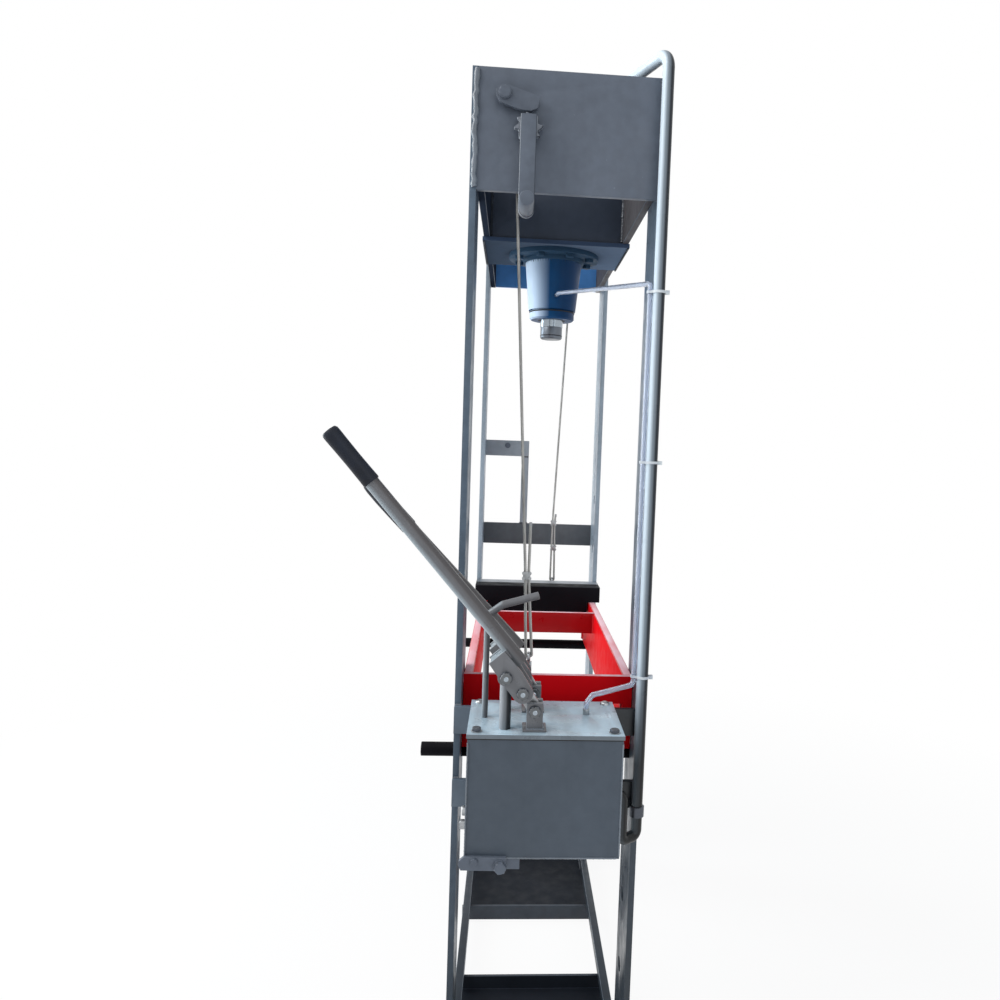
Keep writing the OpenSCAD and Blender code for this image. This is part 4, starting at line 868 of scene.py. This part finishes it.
def build_winch():
    soften("winch_shaft", 0.5, M["steel"], angle=45, other=M["winch"], where=lambda c, n: c.y < -440)
    soften("winch_bushes", 0.6, M["winch"], angle=45)
    # The pawl's bevels carry a painted highlight on the left and painted shade on the right
    soften("pawl", 1.0, M["winch"], M["winch_edge_lit_shaded"])
    soften("guide_pulley", 0.4, M["steel"], angle=45)
    soften("pulley_bracket", 0.5, M["steel"], angle=45)
    build_ratchet()
    build_crank()
    bolt("pawl_bolt", (-100, -446.2, 1622), (0, -1, 0), 16, M["winch"], 4.2, turn=0.45)
    soften("frame_bolts", 0.4, M["zinc"], angle=45, other=M["winch"], where=lambda c, n: c.z > 1000)
    for k, x in enumerate((-80, 60)):
        bolt(f"tank_bolt_{k}", (x, -423, 544.5), (0, 1, 0), 17, M["zinc"], 3, washer=False)
    build_drum_rope("near", -1, math.pi)
    build_drum_rope("far", 1, -math.pi / 2)


def build_ratchet():
    """A plate with large hooked teeth, each given by turns in degrees and radii from its tip on"""
    x, z = SHAFT
    count = 8
    first_turn = 6
    tooth = ((0, 21.8), (5, 21.4), (11, 16.4), (17, 15.6), (26, 17.0), (36, 19.6))
    outline = []
    for k in range(count):
        for turn, radius in tooth:
            a = math.radians(k * 360 / count + turn + first_turn)
            outline.append((x + radius * math.cos(a), z + radius * math.sin(a)))
    # The ratchet's face takes the lighter edge paint and its bevels a painted highlight on the left and
    # painted shade on the right
    wheel = plate_piece("ratchet_teeth", outline, -445, -437, M["edge"], "winch", 0.9,
                        M["winch_edge_lit_shaded"])
    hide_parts("ratchet_wheel")


def build_crank():
    """A flat arm with a round lower end, its handle and the weld on the shaft"""
    x, z = SHAFT
    low = z - CRANK_LEN
    left = x - CRANK_HALF
    right = x + CRANK_HALF
    top = z + 13.6
    steps = 8
    outline = [(left, top), (left, low)]
    for k in range(1, steps):
        a = k * math.pi / steps
        outline.append((x - CRANK_HALF * math.cos(a), low - CRANK_HALF * math.sin(a)))
    outline += [(right, low), (right, top)]
    # The arm's bevels carry a painted highlight on the left and painted shade on the right
    arm = plate_piece("crank_arm", outline, -460.6, -452, M["winch"], "winch", 1.2,
                      M["winch_edge_lit_shaded"])
    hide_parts("winch_crank")
    profile = [(0, 8), (0.5, 10.6), (2, 11), (56, 11), (59, 10), (60, 7)]
    lathe("crank_grip", (x, -460, low), (0, -1, 0), profile, M["winch"], "winch", 48)
    weld("crank_weld", [(x - 10, -451.5, z - 10), (x + 10, -451.5, z - 10)], 2.0, M["weld_grey"], "winch",
         4, 111)


def build_drum_rope(key, side, start):
    """Rope wound on a drum, from one edge of the drum to the other"""
    x, z = SHAFT
    radius = DRUM_R + CABLE_R * 0.9
    half_width = 6.4
    turns = 3.6
    per_turn = 32
    count = turns * per_turn
    points = []
    for i in range(int(count) + 1):
        a = start - 2 * math.pi * i / per_turn
        y = side * CABLE_Y + half_width * (1 - 2 * i / count)
        points.append((x + radius * math.cos(a), y, z + radius * math.sin(a)))
    rope(f"drum_rope_{key}", points, CABLE_R * 0.95, "winch", 1.8, 1)


# Ropes from the drum and the pulley down to the table

def rope_stretch(name, top, low, node):
    """A taut rope from its upper end to its lower end, in place of a CAD node"""
    obj = rope(name, [top, low], CABLE_R, "frame")
    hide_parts(node)
    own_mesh(obj)


def grip_clamp(name, at):
    """A wire rope grip: a saddle, and two bows with two nuts each"""
    x, y, z = at
    x += 2.2
    leg = 4.9
    zinc = M["zinc"]
    box_piece(f"{name}_saddle", (x - 6.2, y - 5.0, z - 8.6), (x + 6.2, y - 1.8, z + 4.6), zinc, "table",
              0.8)
    for k, up in enumerate((-6.2, 2.2)):
        front = y - 7
        back = y + 2.6
        loop = [(x - leg, front, z + up), (x - leg, back, z + up), (x + leg, back, z + up),
                (x + leg, front, z + up)]
        tube(f"{name}_bow_{k}", rounded(loop, 4.4, 6), 1.3, zinc, "table", 10)
        for s in (-1, 1):
            hex_piece(f"{name}_nut_{k}_{s}", (x + s * leg, y - 5.0, z + up), (0, -1, 0), 5.4, 2.6, zinc,
                      "table", 0.3 * s + k)


def build_ropes():
    """Both long ropes, the far rope's lead over its pulley, and the ends on the table"""
    near_top = (SHAFT[0] - DRUM_R - CABLE_R - ROPE_GAP, -CABLE_Y, SHAFT[1])
    far_top = (PULLEY_X + PULLEY_R + CABLE_R + ROPE_GAP, CABLE_Y, PULLEY_Z)
    rope_stretch("near_rope", near_top, NEAR_CLIP, "near_cable")
    rope_stretch("far_rope", far_top, FAR_CLIP, "far_cable")
    run_z = SHAFT[1] - DRUM_R - CABLE_R - ROPE_GAP
    wrap = run_z - PULLEY_Z
    arc = [(SHAFT[0], CABLE_Y, run_z), (PULLEY_X, CABLE_Y, run_z)]
    for i in range(1, 13):
        a = math.pi / 2 * (1 - i / 12)
        arc.append((PULLEY_X + wrap * math.cos(a), CABLE_Y, PULLEY_Z + wrap * math.sin(a)))
    lead = rope("rope_lead", arc, CABLE_R, "frame", bend=1)
    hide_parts("far_cable_lead")
    first = build_loop("near", NEAR_CLIP, -34, 6.0, 85)
    build_loop("far", FAR_CLIP, 40, 7.4, 20)
    x, y, z = FAR_CLIP
    grip_clamp("far_low_clamp", (x + 1.5, y, z - 64))
    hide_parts("cable_loops", "cable_clips")


def build_loop(key, clip, eye_x, tail_x, tail_up):
    """The rope's end: down through the ring on the table, back up to its clip and past it"""
    x, y, z = clip
    end = (x + tail_x, y, z + tail_up)
    points = [clip, (eye_x - 5, y, EYE_Z), (eye_x + 5, y, EYE_Z), (x + 5.4, y, z - 4), end]
    obj = rope(f"{key}_loop", points, CABLE_R, "table", bend=4.8)
    lathe(f"{key}_rope_end", end, (0, 0, 1), [(-6, 2.3), (-5.5, 2.5), (0, 2.5), (0.5, 2.0)], M["zinc"],
          "table", 20)
    grip_clamp(f"{key}_clamp", clip)
    return obj


# Table, press plates and pins

def build_table():
    soften("table_beams", 1.6, M["red"], M["red_edge"])
    members = soften("table_cross_members", 1.2, M["red"], M["red_edge"], other=M["zinc"],
                     where=lambda c, n: c.z > TABLE_Z + 0.5)
    # The middle and rear members take a darker red below their tops: painted shade
    members.data.materials.append(M["red_shaded"])
    for f in members.data.polygons:
        if f.center.y > 0.05 and f.center.z < (TABLE_Z - 0.5) / 1000:
            f.material_index = 3
    for sx in (-1, 1):
        x = sx * 123.4
        for sy in (-1, 1):
            y = sy * 374.2
            weld(f"table_weld_{sx}_{sy}", [(x, y, 602), (x, y, 719)], 3.2, M["weld_red"], "table",
                 5, 120 + sx + 3 * sy)
        for y in (117.4, 128.6):
            weld(f"middle_weld_{sx}_{int(y)}", [(x, y, 677), (x, y, 720)], 2.8, M["weld_red"], "table",
                 5, 130 + sx)
    for name in ("front_press_plate", "rear_press_plate"):
        soften(name, 1.2, M["black"], M["black_edge"])
    # Thin machined faces on top of the press plates
    half = 148.6
    low = 758.3
    high = 758.75
    tops = (("plate_front", 244, M["milled"]), ("plate_rear", 286.5, M["milled_pale"]))
    for k, (body, y0, material) in enumerate(tops):
        box_piece(f"machined_top_{k}", (-half, y0 + 1.4, low), (half, y0 + 40.6, high), material, body,
                  0)
    soften("near_pin", 1.2, M["black"], M["black_edge"], angle=45)
    profile = [(0, 10.6), (1, 11.5), (355, 11.5), (356, 10.6)]
    pin = lathe("far_pin_bar", (-192, PIN_Y, PIN_Z), (1, 0, 0), profile, M["black"], "pin_far",
                64)
    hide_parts("far_pin")


# Stage, light and camera

def build_stage():
    """The white floor, which takes a faint shadow near the object, and the world and the lamps"""
    bpy.ops.mesh.primitive_circle_add(vertices=96, radius=12, fill_type="NGON", location=(0, 0, -0.0005))
    floor = bpy.context.active_object
    floor.name = "floor"
    s = Shader("floor_white", (0.90, 0.90, 0.90), 0.75, Specular_IOR_Level=0.2)
    seen = rays_that_see_the_backdrop(s)
    ring = s.add("ShaderNodeVectorMath", operation="LENGTH")
    s.link(s.coord.outputs["Object"], ring.inputs[0])
    share = s.add("ShaderNodeMapRange")
    share.inputs["From Min"].default_value = 0.9
    share.inputs["From Max"].default_value = 2.2
    share.inputs["To Min"].default_value = 0.9
    s.link(ring.outputs["Value"], share.inputs["Value"])
    both = s.add("ShaderNodeMath", operation="MULTIPLY")
    s.link(seen, both.inputs[0])
    s.link(share.outputs["Result"], both.inputs[1])
    white = s.add("ShaderNodeEmission")
    blend = s.add("ShaderNodeMixShader")
    s.link(both.outputs["Value"], blend.inputs["Fac"])
    s.link(s.bsdf.outputs["BSDF"], blend.inputs[1])
    s.link(white.outputs["Emission"], blend.inputs[2])
    s.link(blend.outputs["Shader"], s.tree.nodes["Material Output"].inputs["Surface"])
    floor.data.materials.append(s.mat)
    build_world()
    lamp("key", (-2.3, -1.0, 3.3), (0, 0, 0.9), (2.0, 2.6), 78, (1.0, 0.99, 0.97))
    lamp("side", (-3.2, 1.2, 1.6), (0, 0, 0.9), (0.9, 2.6), 70, (0.84, 0.95, 1.0))
    lamp("front", (1.4, -3.4, 1.9), (0, -0.2, 0.9), (1.8, 2.2), 12, (0.94, 0.97, 1.0))


def rays_that_see_the_backdrop(s):
    """1 for camera, glossy and transmission rays, and 0 for the rest"""
    path = s.add("ShaderNodeLightPath")
    total = path.outputs["Is Camera Ray"]
    for name in ("Is Glossy Ray", "Is Transmission Ray"):
        most = s.add("ShaderNodeMath", operation="MAXIMUM")
        s.link(total, most.inputs[0])
        s.link(path.outputs[name], most.inputs[1])
        total = most.outputs["Value"]
    return total


class WorldTree(Shader):
    """The same short ways to add nodes, for a world"""

    def __init__(self, name):
        self.mat = bpy.data.worlds.new(name)
        self.mat.use_nodes = True
        self.tree = self.mat.node_tree


def build_world():
    """White where it is seen, and a softer cool light where it lights the object"""
    w = WorldTree("studio")
    light = w.tree.nodes["Background"]
    light.inputs["Color"].default_value = (0.88, 0.94, 1.0, 1)
    light.inputs["Strength"].default_value = 0.52
    white = w.add("ShaderNodeBackground")
    white.inputs["Strength"].default_value = 1.0
    white.inputs["Color"].default_value = (1, 1, 1, 1)
    blend = w.add("ShaderNodeMixShader")
    w.link(rays_that_see_the_backdrop(w), blend.inputs["Fac"])
    w.link(light.outputs["Background"], blend.inputs[1])
    w.link(white.outputs["Background"], blend.inputs[2])
    w.link(blend.outputs["Shader"], w.tree.nodes["World Output"].inputs["Surface"])
    bpy.context.scene.world = w.mat


def lamp(name, at, target, size, power, colour):
    """A rectangular area light that faces its target"""
    light = bpy.data.lights.new(name, "AREA")
    light.shape = "RECTANGLE"
    light.size = size[0]
    light.size_y = size[1]
    light.energy = power
    light.color = colour
    obj = bpy.data.objects.new(name, light)
    bpy.context.scene.collection.objects.link(obj)
    obj.location = at
    obj.rotation_euler = (Vector(target) - Vector(at)).to_track_quat("-Z", "Y").to_euler()


def build_camera():
    """The camera that was fitted to the photograph, with its focal length in pixels"""
    focal = 820
    photo_width = 1000
    yaw, pitch, roll = -0.0689, -0.0651, -0.037
    turn = Matrix.Rotation(yaw, 3, "Z") @ Matrix.Rotation(pitch, 3, "X") @ Matrix.Rotation(roll, 3, "Y")
    right, ahead, up = turn.col[0], turn.col[1], turn.col[2]
    pose = Matrix((right, up, -ahead)).transposed().to_4x4()
    pose.translation = mm(-71.0, -1711.1, 1101.8)
    data = bpy.data.cameras.new("camera")
    data.sensor_width = 36
    data.lens = focal * data.sensor_width / photo_width
    data.shift_x = -0.0678
    data.shift_y = -0.0023
    data.clip_start = 0.05
    data.clip_end = 60
    camera = bpy.data.objects.new("camera", data)
    bpy.context.scene.collection.objects.link(camera)
    camera.matrix_world = pose
    bpy.context.scene.camera = camera


build_camera()
build_frame()
build_cylinder()
build_pipe()
build_tank()
build_levers()
build_winch()
build_ropes()
build_table()
build_stage()
bpy.context.scene.view_settings.view_transform = "Standard"
